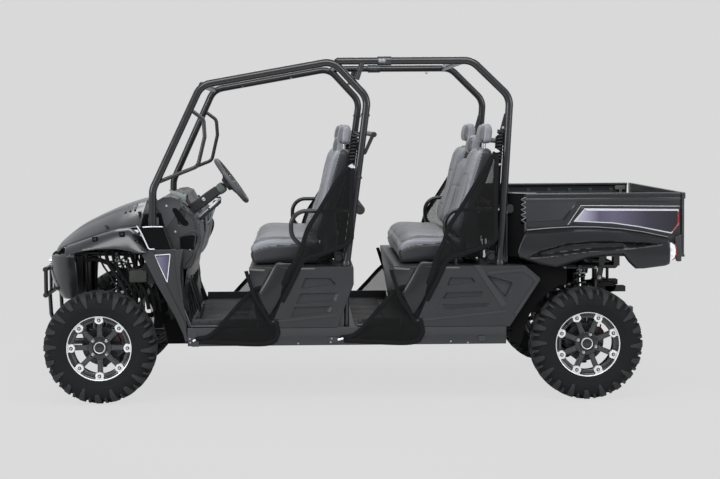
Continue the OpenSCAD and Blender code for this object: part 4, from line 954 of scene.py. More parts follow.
s.mirrored().build("leg_shields_and_cowl", [grained, dark_plastic_and_shade, painted_shade_black, pale_plastic], bevel=0.003,
    standin=["leg_panels"])
s = Shape()
tri = pairs(1181, 862, 1092, 867, 1111, 706)
mid = np.mean(tri, axis=0)
inner = [tuple(mid + (np.array(p) - mid) * 0.84) for p in tri]
s.plate(tri, 0.7315, 0.7345, 0)
s.plate(inner, 0.7345, 0.7352, 1)
for i in range(3):
    a, b = tri[i], tri[(i + 1) % 3]
    s.tube([(a[0], 0.7345, a[1]), (b[0], 0.7345, b[1])], 0.0032, 2, 8)
s.mirrored().build("leg_shield_badge", [dark_plastic_and_shade, badge_film, bright], bevel=0.0006)
s = Shape()
# liner between the front wheel and the footwell, with stiffening ribs
liner = pairs(1300, 742, 1268, 800, 1190, 872, 1036, 874, 1022, 560, 995, 430, 995, 352, 1060, 335, 1120,
    420, 1150, 560, 1205, 650)
s.plate(liner, 0.38, 0.3865, 0)
# a matt black plate of painted shade behind the wheel
s.plate(pairs(1000, 330, 1000, 520, 1060, 500, 1140, 440, 1120, 330), 0.596, 0.602, 1)
for k in range(4):
    s.tube([(1.05 + 0.045 * k, 0.388, 0.46 + 0.06 * k), (1.07 + 0.05 * k, 0.388, 0.8)], 0.005, 0, 8)
s.grid([[(1.03, y, z) for y in (0.38, 0.5, 0.62, 0.7)] for z in (0.885, 0.74, 0.6)] +
    [[(1.0, y, 0.44) for y in (0.38, 0.5, 0.62, 0.7)], [(0.998, y, 0.36) for y in (0.38, 0.5, 0.62, 0.7)]],
    0)
s.mirrored().build("wheel_arch_liners", [dark_plastic_and_shade, painted_shade_black], bevel=0.002, thick=0.003)
print("front side panels done")

# %% [markdown]
# ## Under the hood
# Through the wheel arch one sees coil-over dampers, a pale washer and coolant bottle, hoses and the frame.

# %% Coil-over dampers
def coil_over(shape, low, top):
    """Damper with eyes, body, rod, spring seats and a coiled spring."""
    low, top = Vector(low), Vector(top)
    d = (top - low).normalized()
    u = d.orthogonal().normalized()
    w = d.cross(u)
    long = (top - low).length
    for p in (low, top):
        shape.lathe(pairs(5, -17, 12, -17, 14, -12, 14, 12, 12, 17, 5, 17, 5, -17), p, (1, 0, 0), 1, 24)
    shape.tube([low + d * 0.01, low + d * long * 0.5], 0.0225, 0, 24)
    shape.tube([low + d * long * 0.48, low + d * (long - 0.01)], 0.0085, 2, 20)
    for h in (0.16, 0.95):
        shape.lathe(pairs(22.5, -4, 41, -4, 43, 0, 41, 4, 22.5, 4, 22.5, -4), low + d * long * h, d, 1, 32)
    turns, n = 8.5, 150
    path = []
    for i in range(n + 1):
        f = i / n
        a = 2 * pi * turns * f
        path.append(low + d * long * (0.18 + 0.75 * f) + 0.0345 * (cos(a) * u + sin(a) * w))
    shape.tube(path, 0.0055, 3, 8)
    shape.tube([low + d * long * 0.52, low + d * long * 0.6], 0.014, 4, 20)


s = Shape()
for x, top_z in ((FRONT_AXLE, 0.83), (REAR_AXLE, 0.73)):
    coil_over(s, (x - 0.045, 0.33, 0.2903), (x - 0.045, 0.24, top_z - 0.0223))
s.mirrored().build("coil_over_dampers", [dark_plastic_and_shade, zinc, chrome, powder, rubber], bevel=0.0006,
    segments=1, standin=["shocks"])

# %% Bottles, hoses and boots in the front bay
s = Shape()
rows = []
for z, g in ((0.668, -0.012), (0.672, 0), (0.7, 0.002), (0.73, 0.002), (0.742, 0), (0.748, -0.01)):
    rows.append([(1.262 - g, 0.3 - g, z), (1.29, 0.296 - g, z), (1.366 + g, 0.3 - g, z),
        (1.372 + g, 0.33, z), (1.366 + g, 0.392 + g, z), (1.32, 0.398 + g, z), (1.266 - g, 0.392 + g, z),
        (1.258 - g, 0.345, z)])
s.grid(rows, 0, closed=True)
s.add(rows[0], [tuple(range(8))], 0)
s.add(rows[-1], [tuple(range(8))[::-1]], 0)
s.lathe(pairs(0, 12, 16, 12, 18, 9, 18, 0, 15, -4, 0, -4), (1.322, 0.345, 0.752), (0, 0, 1), 1, 24)
s.box((1.225, 0.315, 0.655), (1.262, 0.375, 0.775), 2)
s.build("coolant_bottle", [pale_plastic, dark_plastic_and_shade, grained], bevel=0.004, smooth=50)
s = Shape()
random.seed(7)
for k in range(7):
    y = 0.2 + 0.02 * k
    x = 1.3 + 0.035 * k
    s.tube(spline([(x - 0.1, y, 0.47 + 0.01 * k), (x - 0.08, y + 0.02, 0.6),
        (x - 0.02, y + 0.03 * random.random(), 0.7), (x + 0.03, y, 0.78), (x + 0.05, y - 0.03, 0.86)], 26),
        0.006 + 0.003 * (k % 3), 0, 10)
s.tube(spline(triples(1660, 180, 780, 1600, 240, 800, 1500, 270, 770, 1400, 260, 700, 1330, 240, 600), 30),
    0.014, 0, 14)
s.tube(spline(triples(1660, -180, 520, 1600, -230, 560, 1480, -250, 620, 1360, -240, 600, 1250, -200, 500),
    30), 0.014, 0, 14)
for k in range(3):
    s.lathe(pairs(14.5, -6, 17, -6, 17, 6, 14.5, 6), (1.655 - 0.13 * k, 0.185 + 0.035 * k, 0.782),
        (1, -0.3, 0), 1, 20)
s.build("front_bay_hoses", [rubber, zinc])
# boots of the drive shafts
s = Shape()
for x in (FRONT_AXLE, REAR_AXLE):
    for y0 in (0.165, 0.476):
        prof = []
        for i in range(13):
            h = i / 12 * (0.06 if y0 < 0.3 else 0.044)
            prof.append(((0.044 if y0 < 0.3 else 0.024) + (-0.018 if y0 < 0.3 else 0.012) * i / 12 + (0.003
                if i % 2 else 0), h))
        s.lathe(prof, (x, y0, 0.328), (0, 1, 0), 0, 28)
s.mirrored().build("shaft_boots", [rubber])
print("front bay done")

# %% [markdown]
# ## Dash
# The dash is a deep moulding from door to door. Its ends are flat cheeks with a slanted oval pocket and a
# raised front border; between them the top rolls forward over the gauges and the lower half falls to the
# knees.

# %% Dash
DASH = pairs(1196, 1146, 1172, 1172, 1143, 1189, 1095, 1196, 1052, 1180, 1031, 1140, 990, 1104, 950, 1072,
    934, 1020, 928, 950, 944, 880, 966, 810, 985, 776, 1010, 771, 1066, 771, 1130, 832, 1204, 900)
s = Shape()
mid = np.mean(DASH, axis=0)
for y0, y1, f0, f1 in ((0.632, 0.626, 0.985, 1.0), (0.626, 0.4, 1.0, 1.0), (0.4, 0.39, 1.0, 0.975),
        (0.39, 0.16, 0.975, 0.975), (0.16, 0.14, 0.975, 1.0), (0.14, -0.14, 1.0, 1.0)):
    for hand in (1, -1)[:2 if y1 > 0 else 1]:
        s.grid([[(mid[0] + (x - mid[0]) * f, hand * y, mid[1] + (z - mid[1]) * f) for x, z in DASH]
                for y, f in ((y0, f0), (y1, f1))], 0, closed=True)
oval = [(1.06 + 0.014 * cos(a) * 1.3 - 0.052 * sin(a) * 0.55, 1.083 + 0.056 * sin(a) * 1.05 + 0.006 * cos(a))
        for a in np.linspace(0, 2 * pi, 24, endpoint=False)]
oval = [(x - 0.028 + (z - 1.083) * 0.25, z) for x, z in oval]
cheek = [tuple(mid + (np.array(p) - mid) * 0.985) for p in DASH]
for hand in (1, -1):
    s.panel(cheek, hand * 0.622, hand * 0.632, [(oval, 0.016, 1, 0.72)], 0)
s.build("dash_moulding", [grained, body_gloss_painted_lighter], bevel=0.004, smooth=38, standin=["dash"], slot="trim_plastic")
s = Shape()
# raised front border of each cheek, its screws and the grain-textured knee roll
border = pairs(1192, 1140, 1172, 1122, 1146, 1072, 1120, 985, 1098, 900)
s.tube([(x, 0.633, z) for x, z in spline(border, 18)], 0.006, 0, 10, flat=0.7)
s.tube([(x, 0.633, z) for x, z in spline(pairs(1040, 1135, 985, 1092, 958, 1050, 950, 985, 960, 900), 18)],
    0.005, 0, 10, flat=0.6)
for x, z in ((1.07, 0.989), (1.12, 1.14), (0.985, 0.88)):
    s.lathe(pairs(7, 0, 7, 3, 5, 4, 0, 3), (x, 0.632, z), (0, 1, 0), 1, 16)
s.plate(pairs(1093, 895, 960, 880, 975, 830, 1000, 782, 1062, 782), 0.63, 0.6365, 2)
# the slanted recess and the black scoop below the rolled lip of the knee scoop, both painted shade in matt
# black, and the rolled lip itself
s.plate(spline(pairs(1084, 1125, 1060, 1124, 1018, 1070, 992, 1040, 1000, 1024, 1024, 1026, 1056, 1060,
    1084, 1110), 26), 0.633, 0.6345, 3)
s.plate(pairs(1044, 952, 1020, 962, 975, 970, 940, 962, 944, 930, 975, 860, 1016, 800, 1036, 800, 1040,
    880), 0.633, 0.635, 3)
s.tube([(x, 0.634, z) for x, z in spline(pairs(1046, 965, 995, 985, 955, 990, 930, 965, 934, 915, 965, 850,
    1008, 790), 24)], 0.009, 0, 10, flat=0.6)
s.mirrored().build("dash_trim", [body_gloss_painted_lighter, zinc, grained, painted_shade_black], bevel=0.0015, slot="trim_plastic")
s = Shape()
# gauge hood, gauge, switches and glove boxes on the face towards the seats
s.grid([[(1.075 + 0.05 * sin(a), 0.38 + 0.115 * cos(a), 1.182 + 0.04 * sin(a))
    for a in np.linspace(0, pi, 16)], [(1.02, 0.38 + 0.108 * cos(a), 1.142 + 0.052 * sin(a))
    for a in np.linspace(0, pi, 16)]], 0)
s.lathe(pairs(0, 6, 46, 6, 48, 10, 56, 10, 58, 0, 0, 0), (1.02, 0.38, 1.152), (-0.84, 0, 0.54), 1, 40)
for k in range(5):
    s.box((0.954, 0.02 + 0.045 * k, 1.062), (0.966, 0.05 + 0.045 * k, 1.084), 1)
s.box((0.93, -0.56, 0.965), (0.946, -0.2, 1.052), 0)
s.box((0.9265, -0.545, 0.972), (0.936, -0.215, 1.044), 2)
s.box((0.922, -0.41, 1.018), (0.93, -0.35, 1.032), 1)
s.box((0.932, 0.21, 0.955), (0.946, 0.56, 1.03), 2)
s.build("dash_face_fittings", [smoke_plastic, rubber, grained], bevel=0.003, slot="trim_plastic")
print("dash done")

# %% [markdown]
# ## Floor and sills
# The floor is a ribbed moulding. Along each doorway a rolled steel edge is riveted to the sill, and the sill
# itself is one deep skirt with a crease along it, closed at its ends by pale bolts.

# %% Floor and sills
s = Shape()
X0, X1 = -0.25, 1.0
s.box((X0, -0.713, 0.424), (X1, 0.713, 0.4305), 0)
for k in range(22):
    y = -0.66 + 0.0629 * k
    for a, b in ((0.665, 0.985), (-0.165, 0.03)):
        s.beam([(y - 0.009, 0.4305), (y - 0.006, 0.4355), (y + 0.006, 0.4355), (y + 0.009, 0.4305)], a, b, 0)
s.grid([[(0.945, y, 0.4315), (1.0, y, 0.43), (1.018, y, 0.5), (1.03, y, 0.562), (1.024, y, 0.66),
    (1.006, y, 0.765)] for y in (-0.6, -0.3, 0, 0.3, 0.6)], 0)
for y in (-0.45, -0.3, -0.15, 0, 0.15, 0.3, 0.45):
    s.tube([(1.002, y, 0.44), (1.026, y, 0.56), (1.02, y, 0.66)], 0.006, 0, 8)
s.build("floor_moulding", [grained], bevel=0.0015, smooth=40, standin=["floor_pan"], slot="trim_plastic")
s = Shape()
skirt = pairs(745, 440, 745, 392, 741, 384, 741, 345, 735, 334, 716, 333, 716, 424, 728, 440)
s.beam(skirt, 0.996, -0.842, 0)
for x, w in ((0.93, 0.02), (0.51, 0.03), (0.155, 0.03), (-0.33, 0.03), (-0.7, 0.02)):
    s.box((x - w, 0.741, 0.35), (x + w, 0.7465, 0.38), 0)
s.plate(pairs(996, 440, 996, 350, 972, 333, 930, 333, 955, 440), 0.7445, 0.7475, 0)
s.mirrored()
s.build("sill_skirts", [grained], bevel=0.003, standin=["side_sills"], slot="trim_plastic")
s = Shape()
for a, b in ((0.975, 0.595), (0.02, -0.235)):
    s.tube([(a, 0.726, 0.447), ((a + b) / 2, 0.726, 0.4465), (b, 0.726, 0.447)], 0.0085, 0, 12)
    s.box((b, 0.69, 0.4315), (a, 0.717, 0.4375), 3)
    s.box((b + 0.004, 0.6885, 0.4375), (a - 0.004, 0.6945, 0.484), 4)
    n = int((a - b) / 0.062)
    for k in range(n):
        s.lathe(pairs(6, 0, 5.5, 2, 0, 3), (b + 0.03 + 0.062 * k, 0.6945, 0.47), (0, 1, 0), 2, 12)
        s.lathe(pairs(6.5, 0, 6, 2, 3, 3.5, 0, 4), (b + 0.03 + 0.062 * k, 0.7035, 0.4375), (0, 0, 1), 2, 12)
for x, z in ((0.984, 0.378), (0.981, 0.357), (0.167, 0.374), (0.173, 0.352), (-0.52, 0.352), (0.36, 0.346),
        (-0.24, 0.346), (-0.62, 0.342)):
    s.lathe(pairs(5.5, 0, 5.5, 2, 4, 3.5, 0, 4), (x, 0.7465 if z > 0.35 else 0.741, z), (0, 1, 0), 3, 16)
s.mirrored().build("door_edge_tubes", [powder, zinc, dark_plastic_and_shade, pale_grey_and_highlight, grained], bevel=0.001,
    slot="steel")
print("floor and sills done")

# %% [markdown]
# ## Seat bases
# Each bench stands on a hollow moulding with three long louvres pressed in its side. The front corner
# carries a shiny rounded bolster. The rear base ends in a slanted cheek with a triangular pocket, ahead of
# the rear wheel.

# %% Seat bases
def slot_outline(a, b, c, d, r=0.006, n=4):
    """A quadrilateral with rounded corners."""
    pts = [np.array(p, float) for p in (a, b, c, d)]
    out = []
    for i in range(4):
        p, q, w = pts[i], pts[i - 1], pts[(i + 1) % 4]
        u, v = (q - p) / np.linalg.norm(q - p), (w - p) / np.linalg.norm(w - p)
        for s_ in np.linspace(0, 1, n):
            out.append(tuple(p + u * r * (1 - s_) ** 2 + v * r * s_ ** 2))
    return out


LOUVRES = [[(0.32, 0.725), (0.172, 0.724), (0.133, 0.684), (0.346, 0.66)],
    [(0.347, 0.636), (0.124, 0.638), (0.141, 0.588), (0.38, 0.572)], [(0.383, 0.558), (0.162, 0.56),
    (0.177, 0.524), (0.409, 0.496)]]
s = Shape()
holes = [(slot_outline(*q), 0.011, 0, 0.86) for q in LOUVRES]
s.panel(pairs(470, 787, 45, 787, 40, 770, 40, 690, 134, 436, 520, 436, 450, 600, 372, 770),
        0.728, 0.745, holes, 0)
# lower crease and the raised strip between the louvres and the sill
s.plate(pairs(524, 478, 149, 514, 140, 503, 528, 466), 0.7445, 0.7475, 0)
s.plate(pairs(640, 787, 641, 766, 616, 620, 590, 436, 515, 436, 445, 600, 367, 770, 440, 785),
        0.712, 0.722, 0)
s.mirrored()
front_rows = [[(0.628, y, 0.787), (0.64, y, 0.78), (0.641, y, 0.766), (0.59, y, 0.44)]
    for y in (-0.722, -0.25, 0.25, 0.722)]
s.grid(front_rows, 0)
s.grid([[(0.04, y, 0.787), (0.038, y, 0.77), (0.038, y, 0.686), (0.132, y, 0.438)]
    for y in (-0.735, 0, 0.735)], 0)
s.box((0.04, -0.728, 0.778), (0.636, 0.728, 0.787), 0)
s.build("front_seat_base", [grained], bevel=0.003, smooth=35, standin=["seat_base_front"],
    slot="trim_plastic")

dx = row_shift = -0.834
s = Shape()
holes = [(slot_outline(*[(x + dx, z) for x, z in q]), 0.011, 0, 0.86)
    for q in [[(0.318, 0.722), (0.188, 0.72), (0.166, 0.69), (0.336, 0.672)],
    [(0.341, 0.634), (0.128, 0.64), (0.116, 0.612), (0.366, 0.598)], [(0.366, 0.566), (0.08, 0.572),
    (0.084, 0.552), (0.376, 0.536)]]]
holes.append((slot_outline((-0.722, 0.735), (-0.88, 0.69), (-0.872, 0.668), (-0.838, 0.6), 0.008), 0.02, 0,
    0.8))
s.panel(pairs(-364, 787, -951, 787, -1035, 716, -1037, 700, -862, 436, -314, 436, -384, 600, -462, 770),
        0.728, 0.745, holes, 0)
s.plate(pairs(-655, 790, -690, 790, -845, 560, -815, 548), 0.7445, 0.7485, 0)
s.plate(pairs(-310, 478, -840, 530, -848, 519, -306, 466), 0.7445, 0.7475, 0)
s.plate(pairs(-735, 752, -950, 772, -1020, 712, -1026, 692, -905, 505, -888, 512, -1002, 694, -995, 708,
    -942, 752, -740, 738), 0.7445, 0.749, 0)
s.plate(pairs(-194, 787, -193, 766, -219, 620, -244, 436, -319, 436, -389, 600, -467, 770, -394, 785),
        0.712, 0.722, 0)
s.mirrored()
s.grid([[(-0.206, y, 0.787), (-0.194, y, 0.78), (-0.193, y, 0.766), (-0.244, y, 0.44)]
    for y in (-0.722, -0.25, 0.25, 0.722)], 0)
for span in ((-0.735, -0.13), (0.13, 0.735)):
    s.grid([[(-0.951, y, 0.787), (-1.036, y, 0.708), (-0.95, y, 0.58), (-0.86, y, 0.438)] for y in span], 0)
s.box((-0.951, -0.728, 0.778), (-0.198, 0.728, 0.787), 0)
s.build("rear_seat_base", [grained], bevel=0.003, smooth=35, standin=["seat_base_rear"], slot="trim_plastic")

# %% Bolsters at the front corners of the bases
def bolster(s, dx):
    """A long pillow-shaped moulding, bulging outwards, with a keel on its face."""
    edge_a = spline(pairs(596, 632, 552, 712, 500, 800, 472, 816), 22)
    edge_b = spline(pairs(533, 486, 462, 585, 388, 712, 352, 806), 22)
    rows = []
    for i, (a, b) in enumerate(zip(edge_a, edge_b)):
        end = sin(pi * min(1, max(0, (i + 0.6) / 22.2))) ** 0.35
        row = []
        for t in np.linspace(0, 1, 15):
            bulge = (sin(pi * t) ** 0.55) * end
            row.append((a[0] * (1 - t) + b[0] * t + dx, 0.7245 + 0.0235 * bulge, a[1] * (1 - t) + b[1] * t))
        rows.append(row)
    s.grid(rows, 0)


s = Shape()
for shift in (0, row_shift):
    bolster(s, shift)
s.mirrored().build("corner_bolsters", [bed_gloss], smooth=70, thick=0.003, subdiv=1, slot="trim_plastic")

# %% [markdown]
# ## Seats
# Each row has one bench cushion, three backrests and three headrests: foam under embossed vinyl, sewn from
# a grey top, a paler band and a charcoal skirt; on the bench cushions the paler band is a painted highlight
# along the rounded edge. A lofted form gives the outline, a short cloth simulation with air pressure swells
# it as foam swells its cover, and the sewn lines are then pressed in along the piping.

# %% Lofted foam forms
def resample(loop, n):
    """n evenly spread points round a closed outline."""
    p = np.array(list(loop) + [loop[0]], float)
    at = np.r_[0, np.cumsum(np.linalg.norm(np.diff(p, axis=0), axis=1))]
    want = np.linspace(0, at[-1], n, endpoint=False)
    return np.stack([np.interp(want, at, p[:, k]) for k in range(2)], axis=1)


def foam(name, loop, y0, y1, edge=0.045, waist=0.012, shrink=0.01, belly=None):
    """A closed form: the outline drawn from y0 to y1, rounded at both ends, with its sides pulled in."""
    ring = resample(loop, 72)
    mid = ring.mean(axis=0)
    centre, half = (y0 + y1) / 2, (y1 - y0) / 2 - shrink
    rows = []
    for t in np.r_[-1, -0.997, -0.985, -0.96, np.linspace(-0.92, 0.92, 23), 0.96, 0.985, 0.997, 1]:
        near = max(0.0, (abs(t) * half - (half - edge)) / edge)
        inset = shrink + edge * 0.55 * (1 - math.sqrt(max(0.0, 1 - near ** 2)))
        row = []
        for x, z in ring:
            d = np.array([x, z]) - mid
            d = d * max(0.2, 1 - inset / np.linalg.norm(d))
            pull = waist * sin(pi * (z - ring[:, 1].min()) / np.ptp(ring[:, 1])) * (0 if abs(t) < 0.9 else 1)
            lift = belly(t, x, z) if belly else 0
            row.append((mid[0] + d[0] + lift, centre + t * half - math.copysign(pull * 0.3, t),
                mid[1] + d[1]))
        rows.append(row)
    s = Shape()
    s.grid(rows, 0, closed=True)
    for row, turn in ((rows[0], 1), (rows[-1], -1)):
        s.add(row, [tuple(range(72))[::turn]], 0)
    me = bpy.data.meshes.new(name)
    me.from_pydata(s.v, [], s.f)
    weld(me)
    return me


# %% Swell a form with air pressure
def swell(me, voxel, cap, pressure=4.0, frames=20, rest_z=None):
    """Voxel remesh, cloth under pressure, movement capped, one subdivision: returns the new mesh."""
    o = linked(me.name + "_work", me)
    r = o.modifiers.new("voxels", "REMESH")
    r.mode, r.voxel_size = "VOXEL", voxel
    even = o.modifiers.new("even", "SMOOTH")
    even.factor, even.iterations = 0.5, 4

    def baked():
        bpy.context.view_layer.update()
        return bpy.data.meshes.new_from_object(o.evaluated_get(bpy.context.evaluated_depsgraph_get()))

    o.data = baked()
    o.modifiers.clear()
    n = len(o.data.vertices)
    start = np.empty(n * 3)
    o.data.vertices.foreach_get("co", start)
    c = o.modifiers.new("cover", "CLOTH").settings
    c.quality, c.mass, c.use_pressure, c.uniform_pressure_force = 4, 0.3, True, pressure
    c.tension_stiffness = c.compression_stiffness = 20
    c.shear_stiffness, c.bending_stiffness, c.effector_weights.gravity = 10, 2.0, 0
    for f in range(1, frames + 1):
        bpy.context.scene.frame_set(f)
    moved = np.empty(n * 3)
    done = baked()
    done.vertices.foreach_get("co", moved)
    d = (moved - start).reshape(-1, 3)
    size = np.linalg.norm(d, axis=1, keepdims=True)
    d = d * np.minimum(1, cap / np.maximum(size, 1e-9))
    if rest_z is not None:
        low = start.reshape(-1, 3)[:, 2] < rest_z + 0.02
        d[low, 2] = np.maximum(d[low, 2], 0)
    start = (start.reshape(-1, 3) + d).ravel()
    o.modifiers.clear()
    bpy.context.scene.frame_set(1)
    o.data.vertices.foreach_set("co", start)
    sub = o.modifiers.new("finer", "SUBSURF")
    sub.levels = 1
    out = baked()
    out.name = me.name
    bpy.data.objects.remove(o)
    return out


# %% [markdown]
# A sewn line is a narrow valley with a thin raised cord of piping in it. Each panel's colour and each seam is
# decided by where a point of the cover lies, so the same rule serves both rows and both sides.

# %% Seams, colours and copies
def sewn(me, lines, width=0.007, depth=0.006):
    """Presses grooves where any line function of (x, y, z) is near zero, along the normals."""
    n = len(me.vertices)
    co, no = np.empty(n * 3), np.empty(n * 3)
    me.vertices.foreach_get("co", co)
    me.vertices.foreach_get("normal", no)
    co, no = co.reshape(-1, 3), no.reshape(-1, 3)
    sink = np.zeros(n)
    for line in lines:
        gap = np.abs(line(co[:, 0], co[:, 1], co[:, 2], no)) / width
        sink = np.maximum(sink, np.exp(-gap ** 2) * depth)
    me.vertices.foreach_set("co", (co - no * sink[:, None]).ravel())
    me.update()


def paint(me, rule, mats):
    """Gives each face the material number that rule(centres, normals) returns."""
    n = len(me.polygons)
    c, no = np.empty(n * 3), np.empty(n * 3)
    me.polygons.foreach_get("center", c)
    me.polygons.foreach_get("normal", no)
    for mat in mats:
        me.materials.append(mat)
    me.polygons.foreach_set("material_index", rule(c.reshape(-1, 3), no.reshape(-1, 3)).astype(np.int32))
    me.shade_smooth()


def seat_piece(me, name, dx=0.0, mirror=False, standin=()):
    """One copy of a finished pad, moved back by dx or mirrored."""
    copy = me.copy()
    n = len(copy.vertices)
    co = np.empty(n * 3)
    copy.vertices.foreach_get("co", co)
    co = co.reshape(-1, 3)
    if "cushion" in name and dx:
        co[:, 0] -= 0.075 * np.maximum(0, co[:, 0] - 0.2)
    co[:, 0] += dx
    if mirror:
        co[:, 1] *= -1
    copy.vertices.foreach_set("co", co.ravel())
    if mirror:
        copy.flip_normals()
    copy.update()
    o = linked(name, copy)
    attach(o, "chassis")
    if standin:
        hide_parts(*standin)
    return o


VINYLS = [vinyl_grey, vinyl_pale_and_highlight, vinyl_dark]


def skirt_z(x):
    """Height of the seam between the charcoal skirt and the pale band, along the front bench."""
    return np.interp(x, [0.2, 0.372, 0.523, 0.6, 0.645], [0.914, 0.908, 0.898, 0.878, 0.86])


# %% Bench cushion
bench_side = pairs(636, 800, 651, 834, 652, 876, 641, 912, 612, 936, 562, 950, 450, 953, 300, 945, 222, 932,
    208, 900, 208, 789.5, 640, 789.5)
bench = foam("bench_cushion", bench_side, -0.627, 0.627, edge=0.05, waist=0.02, shrink=0.009)
bench = swell(bench, 0.0138, 0.012, rest_z=0.7895)
top_seam = lambda x, y, z, n: np.where(z > 0.81, z - skirt_z(x), 1.0)
band_seam = lambda x, y, z, n: np.where((z > 0.85), z - np.minimum(skirt_z(x) + 0.04, 0.938), 1.0)
splits = lambda x, y, z, n: np.where(z > 0.86, np.minimum(np.abs(y - 0.212), np.abs(y + 0.212)), 1.0)
across = lambda x, y, z, n: np.where((z > 0.925) & (np.abs(np.abs(y) - 0.42) < 0.16), x - 0.375, 1.0)
sewn(bench, [top_seam, splits])
sewn(bench, [band_seam, across], 0.006, 0.0035)
# material 1, the pale band above the skirt, is a painted highlight along the cushion's rounded edge
paint(bench, lambda c, n: np.where(c[:, 2] < skirt_z(c[:, 0]), 2, np.where(c[:,
    2] < np.minimum(skirt_z(c[:, 0]) + 0.04, 0.938), 1, 0)), VINYLS)
seat_piece(bench, "bench_cushion_front", standin=["seat_cushions"])
seat_piece(bench, "bench_cushion_rear", dx=row_shift)
print("bench faces", len(bench.polygons))

# %% Backrests
def back_loop(top):
    lean = lambda z: 0.285 - (z - 0.955) * 0.29
    return [(0.206, 0.7915), (0.206, 0.925), (0.262, 0.962), (0.278, 0.985), (lean(1.06) + 0.008, 1.06),
        (lean(1.2) + 0.002, 1.2), (lean(top - 0.14), top - 0.14), (lean(top - 0.04) - 0.004, top - 0.04),
        (lean(top) - 0.022, top - 0.006), (lean(top) - 0.052, top), (lean(top) - 0.086, top - 0.008),
        (lean(top) - 0.096, top - 0.05), (0.15, 1.1), (0.134, 0.96), (0.122, 0.867), (0.122, 0.7915)]


def bolstered(t, x, z):
    """Outer seats have side bolsters: the front swells forward towards both edges."""
    front = 1 if x > 0.20 - (z - 0.955) * 0.27 else 0
    return front * (-0.012 + 0.022 * min(1, abs(t) ** 3 * 1.3)) * min(1, max(0, (z - 0.93) / 0.08))


outer = foam("outer_back", back_loop(1.48), 0.214, 0.62, edge=0.05, waist=0.02, shrink=0.008, belly=bolstered)
outer = swell(outer, 0.0124, 0.011, rest_z=0.7915)
middle = foam("middle_back", back_loop(1.41), -0.2, 0.2, edge=0.05, waist=0.02, shrink=0.008)
middle = swell(middle, 0.0138, 0.011, rest_z=0.7915)
front_x = lambda z: 0.285 - (z - 0.955) * 0.29
side_line = lambda x, y, z, n: np.where(z > 0.86, x - (front_x(z) - 0.03), 1.0)
inner_line = lambda x, y, z, n: np.where((z > 0.93) & (x > front_x(z) - 0.03),
    np.abs(y - 0.417) - 0.118 - 0.02 * np.sin((z - 1.0) * 5), 1.0)
rungs = lambda x, y, z, n: np.where((np.abs(y - 0.417) < 0.118) & (x > front_x(z) - 0.035),
    np.minimum(np.abs(z - 1.08), np.abs(z - 1.3)), 1.0)
sewn(outer, [side_line, inner_line])
sewn(outer, [rungs], 0.006, 0.004)
paint(outer, lambda c, n: np.where(c[:, 0] < front_x(c[:, 2]) - 0.032, 2,
    np.where((np.abs(c[:, 1] - 0.417) > 0.118 + 0.02 * np.sin((c[:, 2] - 1.0) * 5)), 1, 0)), VINYLS)
mid_rungs = lambda x, y, z, n: np.where((x > front_x(z) - 0.035), np.minimum(np.abs(z - 1.02),
    np.abs(z - 1.22)), 1.0)
sewn(middle, [side_line])
sewn(middle, [mid_rungs], 0.006, 0.004)
paint(middle, lambda c, n: np.where(c[:, 0] < front_x(c[:, 2]) - 0.032, 2,
    np.where(np.abs(c[:, 1]) > 0.13, 1, 0)), VINYLS)
for tag, dx in (("front", 0.0), ("rear", row_shift)):
    seat_piece(outer, f"back_{tag}_left", dx, standin=["seat_backs"] if tag == "front" else ())
    seat_piece(outer, f"back_{tag}_right", dx, True)
    seat_piece(middle, f"back_{tag}_middle", dx)
print("back faces", len(outer.polygons), len(middle.polygons))

# %% Headrests
def head_loop(top, h):
    a = lambda k: 0.651 + k - (top - 0.955) * 0.29
    return [(a(-0.392), top + 0.004), (a(-0.378), top + 0.022), (a(-0.376), top + 0.06),
        (a(-0.386), top + h - 0.03), (a(-0.402), top + h - 0.006), (a(-0.43), top + h),
        (a(-0.45), top + h - 0.006), (a(-0.465), top + h - 0.04), (a(-0.462), top + 0.05),
        (a(-0.45), top + 0.004)]


def headrest(name, top, height, y0, y1):
    """A small pillow with a seam round its side, grey ahead of the seam and pale behind it."""
    me = foam(name, head_loop(top, height), y0, y1, edge=0.04, waist=0.012, shrink=0.005)
    me = swell(me, 0.009, 0.008)
    seam_x = lambda z: 0.251 - (top - 0.955) * 0.29 - (z - top) * 0.1
    sewn(me, [lambda x, y, z, n: x - seam_x(z)], 0.006, 0.005)
    paint(me, lambda c, n: np.where(c[:, 0] > seam_x(c[:, 2]), 3, 1), VINYLS + [vinyl_light])
    return me


head = headrest("headrest", 1.48, 0.132, 0.298, 0.536)
small = headrest("small_headrest", 1.41, 0.13, -0.094, 0.094)
for tag, dx in (("front", 0.0), ("rear", row_shift)):
    seat_piece(head, f"headrest_{tag}_left", dx, standin=["headrests"] if tag == "front" else ())
    seat_piece(head, f"headrest_{tag}_right", dx, True)
    seat_piece(small, f"headrest_{tag}_middle", dx)
# posts of the headrests, seat pans and the plates behind the backs
s = Shape()
for dx in (0.0, row_shift):
    for y, top in ((0.417, 1.48), (-0.417, 1.48), (0.0, 1.41)):
        x = 0.651 - 0.42 - (top - 0.955) * 0.29
        for e in (-0.055, 0.055):
            s.tube([(x + dx + 0.004, y + e, top - 0.06), (x + dx, y + e, top + 0.03)], 0.006, 0, 12)
print("headrest faces", len(head.polygons))
s.build("headrest_posts", [chrome], slot="chrome")

# %% [markdown]
# ## Door nets
# A net of woven mesh closes each doorway. It hangs from the hoop beside the seat back, narrows to a band
# that passes behind the bolster, and spreads again into a triangle that is tied to the sill. It is one
# sheet, laid out in rows between its front and its rear hem, with shallow tension folds that run towards
# the corners.

